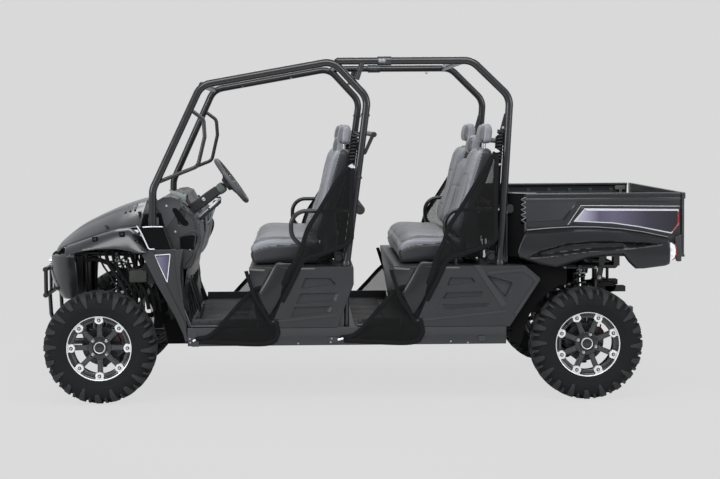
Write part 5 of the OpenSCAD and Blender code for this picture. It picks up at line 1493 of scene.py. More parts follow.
# %% Nets
NET_TOP = {0.0: [(0.06, 1.364), (0.126, 1.285), (0.233, 1.114), (0.3, 1.008), (0.34, 0.889),
    (0.372, 0.823)], row_shift: [(0.047, 1.444), (0.193, 1.213), (0.259, 1.108), (0.325, 1.008),
    (0.353, 0.923), (0.4, 0.823)]}
NET_FRONT = pairs(412, 765, 446, 690, 500, 640, 565, 668, 632, 640, 740, 526, 860, 400, 952, 376)
NET_REAR = pairs(40, 1424, 46, 1290, 50, 1160, 52, 1030, 60, 930, 200, 870, 325, 826, 366, 755, 398, 690,
    444, 600, 480, 520, 484, 460, 478, 400, 550, 346, 930, 362)


def net_y(x, z):
    """The net leans in with the hoop above the bases and passes behind the bolster below it."""
    return 0.7485 - 0.0255 * step(0.43, 0.5, x) * step(0.46, 0.55, z) - max(0.0, (z - 0.83)) * 0.074


def door_net(name, hand, dx, top, mat, standin=()):
    s = Shape()
    lower = lambda pts: [(x, z if z < 1.1 else 1.1 + (z - 1.1) * (top - 1.1) / 0.338) for x, z in pts]
    front, rear = spline(NET_TOP[dx] + NET_FRONT, 72), spline(lower(NET_REAR), 72)
    rows = []
    for i, (a, b) in enumerate(zip(front, rear)):
        row = []
        for t in np.linspace(0, 1, 16):
            x, z = a[0] + (b[0] - a[0]) * t, a[1] + (b[1] - a[1]) * t
            fold = 0.0024 * sin(9 * t + 0.12 * i) * sin(pi * t) * (0.4 + 0.6 * abs(sin(i * 0.11)))
            row.append((x + dx, hand * (net_y(x, z) + fold), z))
        rows.append(row)
    s.grid(rows, 0)
    area = sum((Vector(s.v[f[1]]) - Vector(s.v[f[0]])).cross(Vector(s.v[f[3]]) - Vector(s.v[f[0]])).length
        for f in s.f)
    o = s.build(name, [mat], smooth=60, slot="net_fabric", standin=standin)
    hem = Shape()
    for edge in (front, rear):
        rows = []
        for i, (x, z) in enumerate(edge):
            (ax, az), (bx, bz) = edge[max(i - 1, 0)], edge[min(i + 1, len(edge) - 1)]
            n = math.hypot(bx - ax, bz - az) or 1
            nx, nz = -(bz - az) / n, (bx - ax) / n
            rows.append([(x + dx + nx * w, hand * (net_y(x, z) + e), z + nz * w) for w,
                e in ((-0.013, 0.0005), (-0.011, 0.0022), (0.011, 0.0022), (0.013, 0.0005))])
        hem.grid(rows, 0)
    hem.build(name + "_hem", [webbing], smooth=50, thick=0.0015, slot="net_fabric")
    return area


areas = []
for row, dx, top in (("front", 0.0, 1.36), ("rear", row_shift, 1.44)):
    areas.append(door_net(f"net_{row}_left", 1, dx, top, near_net, ["side_nets"] if row == "front" else ()))
    areas.append(door_net(f"net_{row}_right", -1, dx, top, far_net_painted_lighter))
print("net areas", [round(a, 3) for a in areas])

# %% Net ties, clips and corner plates
s = Shape()
for dx in (0.0, row_shift):
    top = 0.0 if dx else -0.085
    y = net_y(0.05, 1.43 + top)
    # bright clip at the hoop, strap to the front corner of the base and the tie to the sill
    s.plate([(x + dx, z + top) for x, z in ((0.066, 1.45), (0.05, 1.462), (0.03, 1.452), (0.024, 1.442),
        (0.046, 1.438))], y, y + 0.006, 0)
    s.tube([(0.95 + dx if dx == 0 else 0.935 + dx, 0.748, 0.374), (0.966 + dx, 0.747, 0.366)], 0.007, 0, 10)
    s.grid([[(0.64 + dx, 0.731 + e, 0.776), (0.622 + dx, 0.742 + e, 0.7), (0.606 + dx, 0.7475 + e, 0.62)]
        for e in (0.0, 0.0015)], 1)
    for a, b in (((0.646, 0.77), (0.6, 0.622)), ((0.6, 0.622), (0.498, 0.452))):
        s.plate([(a[0] + dx, a[1]), (a[0] + 0.022 + dx, a[1] - 0.003), (b[0] + 0.022 + dx, b[1] - 0.003),
            (b[0] + dx, b[1])], 0.7485, 0.75, 1)
    # pale corner plate at the front lip of the base
    s.plate([(0.64 + dx, 0.783), (0.638 + dx, 0.772), (0.555 + dx, 0.766), (0.545 + dx, 0.776)], 0.735,
        0.7455, 2)
    s.plate([(0.36 + dx, 0.7825), (0.36 + dx, 0.7755), (0.262 + dx, 0.7745), (0.262 + dx, 0.7815)], 0.735,
        0.7465, 2)
s.mirrored().build("net_ties_and_clips", [bright, webbing, pale_plastic], bevel=0.0012, slot="net_fabric")

# %% [markdown]
# ## Belts
# Each outer seat has a lap and shoulder belt: a reel on the base behind the cushion, webbing up along the
# hoop through a spring guide, and a buckle at the side of the cushion. Flat webbing is modelled as strips.

# %% Belts
def strip(s, path, half, m=0, thick=0.0014):
    """Flat webbing through (x, y, z) points, its width across the vehicle's length."""
    rows = []
    for i, p in enumerate(path):
        d = Vector(path[min(i + 1, len(path) - 1)]) - Vector(path[max(i - 1, 0)])
        side = Vector((0, 1, 0)).cross(d).normalized()
        p = Vector(p)
        rows.append([p + side * half - Vector((0, thick, 0)), p + side * half + Vector((0, thick, 0)),
                     p - side * half + Vector((0, thick, 0)), p - side * half - Vector((0, thick, 0))])
    s.grid(rows, m, closed=True)


s = Shape()
for dx, lean, foot in ((0.0, 0.134, 0.079), (row_shift, 0.068, -0.812)):
    hoop = lambda z: foot - lean * (z - 0.788)
    line = [(hoop(z) + 0.046, 0.664 - 0.06 * max(0, z - 1.1), z) for z in (0.86, 0.95, 1.05, 1.16, 1.28,
        1.38, 1.46, 1.53)]
    strip(s, spline(line, 26), 0.022, 0)
    # spring guide and its bright end
    turns, n = 8, 96
    a, b = Vector((hoop(1.4) + 0.044, 0.652, 1.4)), Vector((hoop(1.555) + 0.04, 0.64, 1.555))
    d = (b - a).normalized()
    u = d.orthogonal().normalized()
    w = d.cross(u)
    s.tube([a + (b - a) * (i / n) + 0.0175 * (cos(2 * pi * turns * i / n) * u +
        sin(2 * pi * turns * i / n) * w) for i in range(n + 1)], 0.0042, 1, 8)
    s.plate([(hoop(1.56) + 0.056, 1.572), (hoop(1.56) + 0.06, 1.56), (hoop(1.56) + 0.026, 1.55),
        (hoop(1.56) + 0.022, 1.56)], 0.622, 0.652, 1)
    s.plate([(hoop(1.36) + 0.07, 1.356), (hoop(1.36) + 0.06, 1.364), (hoop(1.36) + 0.034, 1.376),
        (hoop(1.36) + 0.03, 1.366)], 0.668, 0.676, 2)
    s.plate([(hoop(1.1) + 0.065, 1.111), (hoop(1.1) + 0.065, 1.106), (hoop(1.1) + 0.024, 1.106),
        (hoop(1.1) + 0.024, 1.111)], 0.69, 0.698, 3)
    # reel
    s.plate([(hoop(0.85) + 0.078, 0.8), (hoop(0.85) + 0.078, 0.858), (hoop(0.85) + 0.06, 0.872),
        (hoop(0.85) + 0.03, 0.866), (hoop(0.85) + 0.026, 0.8)], 0.64, 0.676, 1)
    s.lathe(pairs(0, 10, 20, 10, 24, 6, 24, 0), (hoop(0.85) + 0.052, 0.676, 0.833), (0, 1, 0), 1, 24)
    # buckle and tongue beside the cushion
    s.plate([(0.098 + dx, 0.834), (0.104 + dx, 0.87), (0.113 + dx, 0.869), (0.115 + dx, 0.83),
        (0.108 + dx, 0.824)], 0.632, 0.648, 2)
    s.lathe(pairs(0, 4, 5, 4, 7, 0, 0, 0), (0.15 + dx, 0.64, 0.824), (0, 1, 0), 2, 16)
    # pad that joins the lap strap and runs forward along the cushion
    strip(s, spline([(0.13 + dx, 0.64, 0.842), (0.19 + dx, 0.636, 0.846), (0.255 + dx, 0.64, 0.862),
        (0.3 + dx, 0.642, 0.88)], 14), 0.02, 0)
s.mirrored().build("seat_belts", [webbing, dark_plastic_and_shade, bright, zinc], bevel=0.0008, slot="net_fabric")
# plate that guides the rear belts, on the rear hoop
s = Shape()
s.plate(pairs(-862, 1676, -846, 1660, -800, 1492, -796, 1470, -822, 1466, -870, 1500, -880, 1620), 0.622,
    0.634, 0)
for z in (1.5, 1.58):
    s.bolt((-0.84, 0.634, z), (0, 1, 0), 0.006, 1)
s.mirrored().build("belt_guide_plates", [dark_plastic_and_shade, zinc], bevel=0.002, slot="steel")
print("belts done")

# %% [markdown]
# ## Cage fittings
# The two halves of the cage meet in bolted sleeves on the roof. Behind each hoop runs a padded bar at elbow
# height, behind the front hoop also a thinner one at shoulder height, and every foot is a bolted flange.

# %% Cage fittings
def foot_bolts(s, x, z, radius, size):
    """Four bolts in the flange at a hoop's foot."""
    for a in range(4):
        turn = a * pi / 2 + 0.785
        s.bolt((x + radius * cos(turn), 0.69 + radius * sin(turn), z), (0, 0, 1), size, 1)


s = Shape()
for x in (-0.126, -0.146):
    s.bolt((x, 0.6415, 1.973), (0, 1, 0), 0.0075, 1)
for x in (0.079, -0.812):
    foot_bolts(s, x, 0.788 + 0.0095, 0.0225, 0.0045)
    s.lathe(pairs(22.5, 9, 30, 9, 26, 20, 23.5, 30, 22.5, 30), (x, 0.69, 0.788), (0, 0, 1), 0, 32)
foot_bolts(s, 1.196, 1.0095, 0.024, 0.005)
s.lathe(pairs(22.5, 0, 29, 0, 28.5, 8, 22.5, 16), (1.196, 0.69, 1.0105), (0, 0, 1), 3, 32)
for x, z in ((0.72, 1.871), (0.4, 1.925), (-0.5, 1.951)):
    s.bolt((x, 0.604, z - 0.008), (0.1, -1, 0), 0.006, 1)
# small clip on the upper hoop and gussets between cross tubes and hoops
for z in (1.3, 1.66):
    s.lathe(pairs(22.5, -6, 26.5, -6, 26.5, 6, 22.5, 6), (0.079 - 0.134 * (z - 0.788),
        0.69 - (z - 1.1) * 0.1015 if z > 1.1 else 0.69, z), (-0.134, -0.1, 1), 0, 32)
s.mirrored().build("cage_bolts_and_collars", [powder, zinc, rubber, bright], bevel=0.0005, slot="steel")
s = Shape()
for foot, lean, zs in ((0.079, 0.134, (1.11, 1.546)), (-0.812, 0.068, (1.11, 1.5))):
    x = foot - lean * (zs[0] - 0.788) - 0.04
    s.tube([(x, -0.662, zs[0]), (x, -0.655, zs[0]), (x, 0.655, zs[0]), (x, 0.662, zs[0])],
        [0.024, 0.028, 0.028, 0.024], 1, 28)
    for hand in (1, -1):
        s.plate([(x + 0.005, zs[0] + 0.016), (x + 0.052, zs[0] + 0.012), (x + 0.052, zs[0] - 0.012),
            (x + 0.005, zs[0] - 0.016)], hand * 0.662, hand * 0.669, 0)
    if foot > 0:
        x = foot - lean * (zs[1] - 0.788) - 0.066
        s.tube([(x, -0.64, zs[1]), (x, 0.64, zs[1])], 0.0155, 0, 20)
        for hand in (1, -1):
            s.plate([(x - 0.012, zs[1] + 0.012), (x + 0.012, zs[1] + 0.014), (x + 0.064, zs[1] - 0.105),
                (x + 0.056, zs[1] - 0.118), (x + 0.046, zs[1] - 0.112)], hand * 0.632, hand * 0.638, 0)
s.build("hoop_cross_bars", [powder, rubber], bevel=0.0015, slot="frame_paint")
print("cage fittings done")

# %% [markdown]
# ## Steering wheel and column
# The wheel is a dished ring with finger ridges behind, three flat spokes and a soft hub. The column has a
# pale collar, a dark shroud and a bright tilt strut below it.

# %% Steering wheel
TILT = radians(53.5)
AXIS = Vector((sin(TILT), 0, -cos(TILT)))
CENTRE = Vector((0.751, 0.38, 1.276))
ACROSS, RISE = Vector((0, 1, 0)), Vector((cos(TILT), 0, sin(TILT)))


def on_wheel(r, a, d=0.0):
    """A point of the steering wheel at radius r, angle a in degrees, and d along the column."""
    return CENTRE + AXIS * d + (ACROSS * cos(radians(a)) + RISE * sin(radians(a))) * r


s = Shape()
rows = []
for i in range(120):
    a = 3.0 * i
    row = []
    for k in range(18):
        b = 2 * pi * k / 18
        ridge = 0.0016 * (1 - cos(radians(a) * 36)) / 2 * max(0, sin(b))
        r = 0.148 + (0.015 - ridge) * cos(b)
        row.append(on_wheel(r, a, (0.015 - ridge) * sin(b) + 0.003))
    rows.append(row)
s.grid(rows + [rows[0]], 0, closed=True)
for a in (0, 120, 240):
    rows = []
    for r, half, d in ((0.03, 13, 0.03), (0.06, 11, 0.028), (0.1, 9, 0.018), (0.136, 8, 0.007),
            (0.146, 9, 0.004)):
        ang = math.degrees(half * 0.001 * 1.7 / r)
        rows.append([on_wheel(r, a - 90 - ang, d - 0.003), on_wheel(r, a - 90 + ang, d - 0.003),
            on_wheel(r, a - 90 + ang, d + 0.003), on_wheel(r, a - 90 - ang, d + 0.003)])
    s.grid(rows, 1, closed=True)
s.lathe(pairs(0, -4, 36, -4, 46, 2, 50, 14, 48, 30, 38, 48, 12, 49, 12, 30, 0, 30), CENTRE, AXIS, 2, 40)
for a in range(3):
    s.bolt(on_wheel(0.028, 90 + 120 * a, -0.004), -AXIS, 0.004, 3, washer=False)
s.build("steering_wheel_soft_rim", [wheel_grip, dark_plastic_and_shade, rubber, zinc], "steering_wheel", bevel=0.0008,
    standin=["steering_wheel"], slot="grip_rubber")


def beside(d, h, y):
    """A point d along the column, h above it and y across."""
    p = CENTRE + AXIS * d + RISE * h
    return (p.x, y, p.z)


s = Shape()
s.lathe(pairs(10, 30, 11.2, 50, 24, 54, 32, 62, 33, 84, 29, 104, 0, 104), CENTRE, AXIS, 1, 36)
shroud = pairs(-34, 26, -28, 33, 28, 33, 34, 26, 36, -14, 28, -26, -28, -26, -36, -14)
s.grid([[beside(d, h * k, 0.38 + y * k) for y, h in shroud] for d, k in ((0.1, 0.8), (0.106, 1.0),
    (0.17, 1.08), (0.25, 1.06), (0.33, 1.1), (0.372, 1.0))], 0, closed=True)
for d, k in ((0.1, 0.8), (0.372, 1.0)):
    s.add([beside(d, h * k, 0.38 + y * k) for y, h in shroud], [tuple(range(8))], 0)
# bracket and tilt strut below, stalks and key switch
strut = ((0.12, -0.052), (0.134, -0.07), (0.3, -0.082), (0.33, -0.06), (0.2, -0.048))
s.prism(*([beside(d, h, y) for d, h in strut] for y in (0.362, 0.398)), 0)
s.tube([beside(0.14, -0.046, 0.408), beside(0.205, -0.052, 0.408)], 0.0085, 2, 20)
s.tube([beside(0.112, -0.046, 0.408), beside(0.14, -0.046, 0.408)], 0.0065, 3, 16)
s.tube([beside(0.215, -0.052, 0.408), beside(0.29, -0.058, 0.408)], 0.006, 3, 16)
s.tube([beside(0.118, 0.0, 0.345), beside(0.112, 0.002, 0.3), beside(0.1, 0.004, 0.262)],
    [0.006, 0.006, 0.009], 0, 12)
s.tube([beside(0.135, -0.02, 0.418), beside(0.128, -0.03, 0.432), beside(0.11, -0.04, 0.44)], 0.005, 0, 10)
s.lathe(pairs(0, 0, 12, 0, 12, 8, 8, 10, 0, 10), beside(0.2, 0.01, 0.42), (0, 1, 0), 3, 20)
# inner shaft with its joints, down to the rack
p, q = CENTRE + AXIS * 0.372, Vector((1.376, 0.09, 0.38))
s.tube([p, p + AXIS * 0.02, q], 0.0095, 3, 16)
for f in (0.04, 0.5, 0.96):
    c = p + (q - p) * f
    s.lathe(pairs(9.5, -20, 17, -20, 17, 20, 9.5, 20), c, q - p, 3, 16)
# pedals with ridged pads, and the shift lever with its gate
for y, w in ((0.3, 0.06), (0.44, 0.07)):
    s.tube([(1.004, y, 0.69), (0.99, y, 0.64), (0.958, y, 0.54), (0.944, y, 0.498)], 0.0075, 0, 12)
    s.box((0.996, y - 0.022, 0.672), (1.009, y + 0.022, 0.7), 0)
    for k in range(5):
        z = 0.462 + 0.014 * k
        s.box((0.934 - 0.0016 * k, y - w / 2, z), (0.9405 - 0.0016 * k, y + w / 2, z + 0.009), 4)
    s.plate(pairs(944, 460, 936, 534, 930, 532, 938, 458), y - w / 2, y + w / 2, 0)
s.tube(spline(triples(940, 120, 1000, 918, 120, 1003, 900, 119, 1020, 882, 116, 1070, 866, 112, 1112), 16),
    0.0068, 3, 12)
s.lathe(pairs(0, 20, 10, 19.5, 18, 12, 20.5, 0, 18, -14, 10, -20, 0, -20), (0.864, 0.112, 1.124),
    (-0.17, 0, 1), 4, 28)
s.box((0.926, 0.09, 0.955), (0.936, 0.15, 1.045), 0)
s.build("column_pedals_and_lever", [grained, smoke_plastic, machined, zinc, rubber], bevel=0.0012,
    standin=["driver_controls"], slot="trim_plastic")
print("controls done")

# %% [markdown]
# ## Driveline, airbox and exhaust
# Behind the rear bench, between the bed and the rear axle, the engine's covers, hoses and the airbox fill the
# space with dark shapes, and two flat-sided tail pipes reach out behind the silencer.

# %% Silencer and tail pipes
s = Shape()
oval = [(0.056 * math.copysign(abs(cos(a)) ** 0.7, cos(a)), 0.036 * math.copysign(abs(sin(a)) ** 0.8, sin(a)))
        for a in np.linspace(0, 2 * pi, 41)[:-1]]
ends = pairs(150, 860, 157, 970, 157, 1000, 60, 1000, 58, 1030, 50, 1030, 48, 1000, -98, 1000, -98, 970,
    -90, 860)
s.grid([[(-1.548 + u * k, y, 0.594 + w * k) for u, w in oval] for y, k in ends], 0, closed=True)
for y, k in (ends[0], ends[-1]):
    s.add([(-1.548 + u * k, y, 0.594 + w * k) for u, w in oval], [tuple(range(40))], 0)
for y0, y1, x1, z0, z1 in ((0.01, 0.078, -1.632, 0.598, 0.63), (0.082, 0.15, -1.665, 0.562, 0.596)):
    outer_, inner_ = [(y0, z0), (y1, z0), (y1, z1), (y0, z1)], [(y0 + 0.003, z0 + 0.003),
        (y1 - 0.003, z0 + 0.003), (y1 - 0.003, z1 - 0.003), (y0 + 0.003, z1 - 0.003)]
    s.grid([[(-1.54, y, z) for y, z in outer_], [(x1, y, z) for y, z in outer_],
        [(x1, y, z) for y, z in inner_], [(-1.56, y, z) for y, z in inner_]], 1, closed=True)
s.tube(spline(triples(-1510, -80, 594, -1420, -82, 585, -1374, -80, 560), 14), 0.022, 0, 24)
s.box((-1.588, -0.018, 0.626), (-1.576, 0.018, 0.716), 1)
s.build("silencer", [exhaust_steel, dark_plastic_and_shade], bevel=0.0015, standin=["exhaust"], slot="steel")
s = Shape()
# ribbed engine covers, belt housing, airbox and its snorkel
for side, y in ((1, 0.252), (-1, -0.252)):
    s.lathe(pairs(0, 34, 70, 34, 100, 26, 125, 10, 130, 0), (-0.62, y, 0.56), (0, side, 0), 0, 48)
    for a in range(10):
        p = radians(36 * a)
        s.tube([(-0.62 + 0.03 * cos(p), y + side * 0.036, 0.56 + 0.03 * sin(p)),
            (-0.62 + 0.112 * cos(p), y + side * 0.02, 0.56 + 0.112 * sin(p))], 0.005, 0, 8)
for k in range(7):
    s.box((-0.8 + 0.058 * k, -0.256, 0.66), (-0.782 + 0.058 * k, 0.256, 0.748), 0)
rows = []
for z, g in ((0.64, 0.01), (0.648, 0.0), (0.76, 0.0), (0.772, 0.012)):
    rows.append([(-1.085 + g, -0.17 + g, z), (-0.985 - g, -0.17 + g, z), (-0.985 - g, 0.17 - g, z),
        (-1.085 + g, 0.17 - g, z)])
s.grid(rows, 1, closed=True)
s.add(rows[-1], [(0, 1, 2, 3)], 1)
s.add(rows[0], [(3, 2, 1, 0)], 1)
s.tube(spline(triples(-1040, 120, 720, -1100, 200, 740, -1170, 240, 730, -1230, 235, 680, -1260, 220, 620),
    22), 0.026, 2, 20)
s.tube(spline(triples(-1040, -100, 720, -1120, -160, 750, -1220, -150, 740, -1300, -100, 700), 22), 0.022,
    2, 20)
random.seed(11)
for k in range(9):
    y = -0.22 + 0.055 * k
    s.tube(spline([(-1.0, y, 0.66 + 0.01 * (k % 3)), (-1.1, y + 0.02 * random.random(),
        0.6 + 0.04 * random.random()), (-1.2 - 0.03 * random.random(), y, 0.66 + 0.05 * random.random()),
        (-1.272 - 0.004 * k, y * 0.7, 0.62 + 0.06 * random.random())], 20), 0.0045 + 0.0025 * (k % 3), 2, 8)
s.lathe(pairs(0, 50, 28, 50, 32, 45, 32, 0, 0, 0), (-1.17, 0.19, 0.655), (0.2, 0.3, 1), 3, 28)
s.tube(triples(-1190, 275, 725, -1178, 272, 660, -1196, 268, 620), 0.006, 3, 10)
s.build("engine_covers_and_airbox", [cast, dark_plastic_and_shade, rubber, rust_brown], bevel=0.002, smooth=40,
    slot="cast_metal")

# %% [markdown]
# The rear wheel wells are closed by flexible liners, and behind the bench two thin rods stand between the
# cabin and the bed.

# %% Rear liners, guards and rods
s = Shape()
arc = [(REAR_AXLE + 0.372 * cos(a), WHEEL_Z + 0.372 * sin(a)) for a in np.radians(np.linspace(6, 72, 20))]
s.grid([[(x, y, z) for y in (0.36, 0.48, 0.6, 0.706)] for x, z in arc], 0)
s.plate([(-0.872, 0.338), (-0.936, 0.338)] + arc + pairs(-1200, 760, -1120, 790, -960, 790, -900, 700),
    0.69, 0.706, 0)
# the liners take the painted-shade matt black
s.mirrored().build("rear_arch_liners", [painted_shade_black], thick=0.003, bevel=0.0, slot="trim_plastic")
s = Shape()
# upright, rods and brackets between the rear hoop and the bed
for x, z0, z1 in ((-0.846, 0.815, 1.005), (-0.858, 0.815, 1.08)):
    s.tube([(x, 0.64, z0), (x, 0.64, z1)], 0.008, 0, 12)
    s.bolt((x, 0.64, z1), (0, 0, 1), 0.0075, 1)
s.box((-0.862, 0.56, 0.8), (-0.836, 0.655, 0.82), 0)
s.box((-0.86, 0.6, 1.088), (-0.84, 0.662, 1.104), 1)
s.plate(pairs(-838, 820, -838, 905, -832, 905, -826, 820), 0.63, 0.642, 2)
for y in (0.3, 0.1):
    s.tube([(-0.842, y, 0.815), (-0.842, y, 1.1)], 0.006, 0, 10)
s.tube(triples(-842, 0, 1100, -842, 640, 1100), 0.008, 0, 12)
s.mirrored().build("rear_rods_and_brackets", [powder, zinc, bright], bevel=0.001, slot="steel")
s = Shape()
# shrouds that close the engine bay, ribbed, on both sides; the plate is painted shade in matt black
s.plate(pairs(-1050, 600, -1030, 795, -1400, 795, -1385, 700, -1340, 640, -1200, 580), 0.196, 0.2, 0)
for k in range(6):
    s.tube([(-1.08 - 0.05 * k, 0.203, 0.62), (-1.09 - 0.05 * k, 0.203, 0.785)], 0.006, 1, 8)
s.tube(spline(triples(-1100, 206, 600, -1140, 212, 680, -1130, 206, 770), 14), 0.01, 2, 12)
s.mirrored().build("engine_bay_shrouds", [painted_shade_black, dark_plastic_and_shade, rust_brown], bevel=0.001,
    slot="trim_plastic")
s = Shape()
# slanted upright beside the rear axle, its foot and bolts, seen through the wheel arch
s.plate(pairs(-1500, 640, -1468, 640, -1492, 792, -1526, 792), 0.214, 0.226, 0)
s.bolt((-1.486, 0.226, 0.66), (0, 1, 0), 0.008, 1)
s.plate(pairs(-1500, 716, -1240, 716, -1240, 728, -1500, 728), 0.206, 0.246, 0)
for x in (-1.46, -1.36, -1.27):
    s.bolt((x, 0.246, 0.722), (0, 1, 0), 0.006, 1)
s.mirrored().build("rear_frame_gussets", [powder, zinc], bevel=0.0015, slot="frame_paint")

# %% [markdown]
# ## Cargo bed
# Each bed side is one moulding: a rail along the top, a flat wall with a framed film, a ridge, and a flare
# that swells out over the wheel. It is drawn as a fine grid whose depth comes from one function, so the
# pocket below the ridge and the grooves of the rail are part of the same skin.

# %% Bed sides
FLARE_LOW = pairs(-899, 832, -1022, 793, -1119, 775, -1213, 801, -1317, 829, -1467, 845, -1520, 845, -1546,
    806, -1589, 765, -1640, 766, -1762, 781, -1786, 790)
RIDGE = pairs(-899, 979, -968, 985, -1100, 996, -1250, 1002, -1380, 999, -1520, 988, -1650, 968, -1786, 938)
FRONT_EDGE = pairs(790, -931, 868, -907, 916, -922, 954, -941, 1007, -965, 1150, -965)
LEAF_TOP = pairs(-945, 832, -1050, 878, -1180, 912, -1300, 925, -1450, 926, -1600, 918, -1745, 908)
LEAF_LOW = pairs(-945, 826, -1050, 832, -1180, 848, -1300, 862, -1450, 870, -1600, 884, -1745, 902)


def bed_side_y(x, z):
    r = lerp(RIDGE, x)
    low = lerp(FLARE_LOW, x)
    if z > r:
        return 0.702 + 0.01 * step(r + 0.01, r, z)
    f = (r - z) / max(0.02, r - low)
    y = 0.712 + 0.04 * step(0, 0.11, f) + 0.012 * sin(pi * min(1, f * 0.9))
    if -1.745 < x < -0.945:
        top, foot = lerp(LEAF_TOP, x), lerp(LEAF_LOW, x)
        if top > z > foot:
            y -= 0.026 * min(1, (top - z) / 0.012, (z - foot) / 0.02)
    return y - 0.01 * step(0.92, 1.0, f)


s = Shape()
rows = []
for x in np.linspace(-0.899, -1.786, 92):
    r, low = lerp(RIDGE, x), lerp(FLARE_LOW, x)
    zs = [1.15, 1.08, r + 0.012, r + 0.008, r + 0.004] + [r + (low - r) * f
        for f in np.linspace(0.0, 1.0, 40)]
    lag = ((x + 1.786) / 0.887) ** 3
    rows.append([(x + (lerp(FRONT_EDGE, z) + 0.899) * lag, bed_side_y(x, z), z) for z in zs] +
        [(x + (lerp(FRONT_EDGE, low) + 0.899) * lag, y, low + e) for y,
        e in ((0.742, -0.002), (0.728, 0.002))])
s.grid(rows, 0)
s.mirrored().build("bed_flares", [bed_gloss], "bed", smooth=38, thick=0.003, standin=["bed_sides"],
    slot="body_plastic")
s = Shape()
# rail with its two grooves, the wall above the ridge, the rear post and the chamfered front corner, which is
# painted shade in matt black
rail = pairs(672, 1186, 672, 1196, 676, 1200, 704, 1200, 708, 1196, 708, 1190, 703, 1186, 703, 1171, 708,
    1167, 708, 1160, 702, 1150, 684, 1150, 684, 1180)
s.beam(rail, -0.96, -1.858, 2)
s.beam(pairs(686, 832, 686, 1160, 701.5, 1160, 701.5, 832), -0.952, -1.858, 0)
s.plate(pairs(-1786, 958, -1858, 958, -1858, 832, -1800, 832, -1786, 938), 0.69, 0.702, 0)
s.plate(pairs(-1822, 940, -1858, 960, -1858, 804, -1836, 802, -1826, 830), 0.7, 0.738, 0)
corner = pairs(-868, 616, -868, 642, -952, 703, -952, 690, -880, 634)
s.prism([(x, y, 0.832) for x, y in corner], [(x, y, 1.2) for x, y in corner], 1)
# inner wall ribs of the bed
for x in np.linspace(-1.05, -1.75, 6):
    s.box((x - 0.012, 0.678, 0.885), (x + 0.012, 0.688, 1.165), 0)
s.mirrored().build("bed_rails_and_walls", [grained, painted_shade_black, powder], "bed", bevel=0.0022, smooth=30,
    slot="body_plastic")

# %% [markdown]
# The film on the wall lies in a frame of three steps: a dark slanted band, which is painted shade in the
# channel round the film, a thin bright line and the film itself, which runs from pale lilac to dark plum and
# ends at a red edge; its pale lilac front end is a painted highlight. No lettering is put on it.

# %% Film and frame
s = Shape()
# the dark slanted band: thin plates of painted shade over the channel round the film
s.plate(pairs(-1262, 1156, -1275, 1128, -1858, 1120, -1858, 1146, -1290, 1156), 0.7012, 0.7045, 1)
s.plate(pairs(-1262, 1156, -1292, 1140, -1222, 1016, -1172, 1014), 0.7012, 0.704, 1)
s.plate(pairs(-972, 1032, -1172, 1044, -1225, 1026, -1225, 1010, -1100, 1008, -972, 1006), 0.7012, 0.703, 1)
s.plate(pairs(-1225, 1030, -1300, 1124, -1858, 1118, -1858, 955, -1780, 948, -1618, 985, -1463, 1004, -1300,
    1014), 0.7012, 0.7028, 1)
s.tube(triples(-1205, 704.5, 1018, -1280, 704.5, 1128.5, -1852, 704.5, 1121), 0.002, 0, 6)
film = pairs(-1238, 1036, -1302, 1112, -1849, 1104, -1851, 1018, -1808, 962, -1782, 967, -1618, 1001, -1463,
    1024, -1300, 1033)
inner = pairs(-1250, 1041, -1306, 1108.5, -1843, 1100.5, -1845, 1021, -1806, 970, -1784, 974, -1620, 1007,
    -1465, 1030, -1302, 1038)
s.plate(film, 0.7012, 0.7046, 0)
s.plate(inner, 0.7046, 0.7054, 2)
# painted highlight: a pale band along the film's top edge
s.plate(pairs(-1308, 1108.3, -1843, 1100.3, -1843, 1094.3, -1316, 1098.5), 0.7054, 0.7057, 4)
s.plate(pairs(-1843, 1090, -1850, 1090, -1850, 1020, -1816, 974, -1810, 978, -1843, 1022), 0.7054, 0.706, 3)
# painted highlight: a pale line along the ridge
s.tube([(x, 0.713, z + 0.0045) for x, z in [(a, lerp(RIDGE, a)) for a in np.linspace(-0.966, -1.783, 40)]],
    0.0028, 5, 8)
s.mirrored().build("bed_side_film", [bright, dark_plastic_and_shade, plum_film_and_highlight, lens_red, film_band_highlight, pale_grey_and_highlight],
    "bed", bevel=0.0003, slot="body_plastic")

# %% Front corner, bed front and inner latch
s = Shape()
teeth = []
for k in range(6):
    z = 1.185 - 0.03 * k
    teeth += [(-0.962, z), (-0.932, z - 0.015)]
outline = teeth + pairs(-945, 1034, -1168, 1046, -1262, 1158, -985, 1160)
s.plate(outline, 0.7012, 0.7028, 2)
# painted highlights: pale lines along the teeth and along the bed's top front corner
for k in range(5):
    z = 1.18 - 0.03 * k
    s.tube([(-0.962, 0.703, z), (-0.934, 0.703, z - 0.0145), (-0.96, 0.703, z - 0.028)], 0.002, 1, 8)
s.tube(triples(-866, 640, 1202, -960, 706, 1202, -1020, 706, 1201.5), 0.0028, 1, 8)
s.mirrored()
# the bed's front wall, its ribs, bars and top in painted shade: matt black
s.box((-0.864, -0.612, 0.862), (-0.852, 0.612, 1.208), 0)
for z in (0.9, 0.97, 1.04, 1.11, 1.17):
    s.beam([(-0.6, z), (-0.6, z + 0.03), (0.6, z + 0.03), (0.6, z)], -0.864, -0.869, 0)
for z in (0.93, 1.06):
    s.tube([(-0.85, -0.6, z), (-0.848, 0.0, z), (-0.85, 0.6, z)], 0.008, 0, 10)
s.box((-0.872, -0.606, 1.19), (-0.846, 0.606, 1.214), 0)
s.build("bed_front_panel", [painted_shade_black, pale_grey_and_highlight, grained], "bed", bevel=0.002, standin=["bed_front"],
    slot="body_plastic")
s = Shape()
for side in (-0.672, 0.672):
    s.box((-1.845, side - 0.004, 1.155), (-1.775, side + 0.004, 1.182), 0)
    s.box((-1.822, side - 0.006, 1.085), (-1.802, side + 0.006, 1.156), 0)
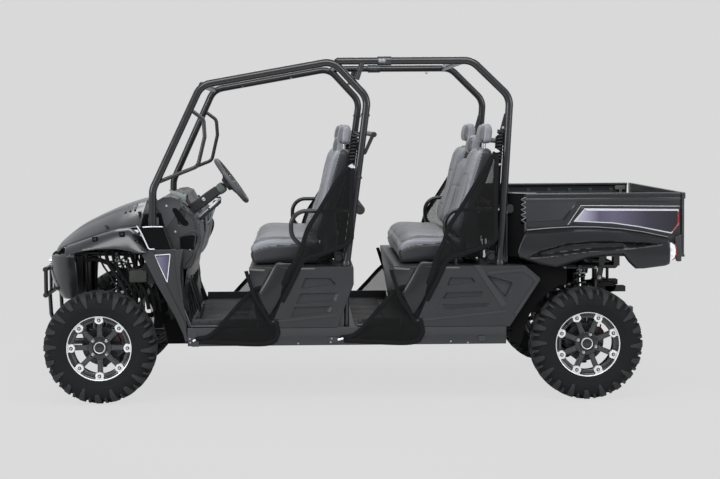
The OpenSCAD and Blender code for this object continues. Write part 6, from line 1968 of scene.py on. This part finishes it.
s.lathe(pairs(12, 0, 12, 10, 8, 14, 0, 14), (-1.812, -0.668, 1.1), (0, 1, 0), 1, 20)
s.build("tailgate_latches", [pale_plastic, zinc], "bed", bevel=0.002, slot="steel")

# %% Tail lights
s = Shape()
glass = pairs(-1779, 914, -1800, 913, -1815, 902, -1822.5, 878, -1822.5, 850, -1814, 824, -1798, 814, -1779,
    812)
edge = pairs(-1800, 914.5, -1817, 904, -1825.5, 879, -1825.5, 849, -1817, 822, -1799, 812, -1797, 816,
    -1811, 826, -1819.5, 850, -1819.5, 877, -1812, 900, -1798, 911)
s.plate(glass, 0.712, 0.756, 0)
s.plate(edge, 0.714, 0.758, 1)
s.plate(pairs(-1774, 920, -1779, 920, -1779, 806, -1774, 806), 0.705, 0.757, 2)
s.mirrored().build("tail_light_lenses", [lens_clear, lens_red, dark_plastic_and_shade], "bed", bevel=0.003,
    segments=3, standin=["tail_lights"], slot="lens")

# %% Tailgate
s = Shape()
gx, gb = -1.8895, -1.8705
s.box((gx + 0.003, -0.699, 0.826), (gb, 0.699, 0.842), 0)
s.box((gx + 0.006, -0.698, 0.838), (gb, 0.698, 1.166), 0)
top = pairs(-700, 1164, -700, 1196, -696, 1200, 696, 1200, 700, 1196, 700, 1164)
s.beam(top, gx, gb, 0)
for y0, y1 in ((-0.66, -0.25), (-0.2, 0.2), (0.25, 0.66)):
    s.box((gx + 0.001, y0, 0.872), (gx + 0.007, y1, 0.884), 0)
    s.box((gx + 0.001, y0, 1.118), (gx + 0.007, y1, 1.13), 0)
    s.box((gx + 0.001, y0, 0.872), (gx + 0.007, y0 + 0.012, 1.13), 0)
    s.box((gx + 0.001, y1 - 0.012, 0.872), (gx + 0.007, y1, 1.13), 0)
s.box((gx, -0.12, 1.14), (gx + 0.006, 0.12, 1.16), 1)
s.lathe(pairs(0, 4, 30, 4, 32, 0, 0, 0), (gx + 0.005, 0, 1.1), (-1, 0, 0), 1, 24)
s.build("tailgate_pressing", [body_gloss_painted_lighter, dark_plastic_and_shade], "tailgate", bevel=0.002, standin=["tailgate"],
    slot="body_plastic")
print("bed done")
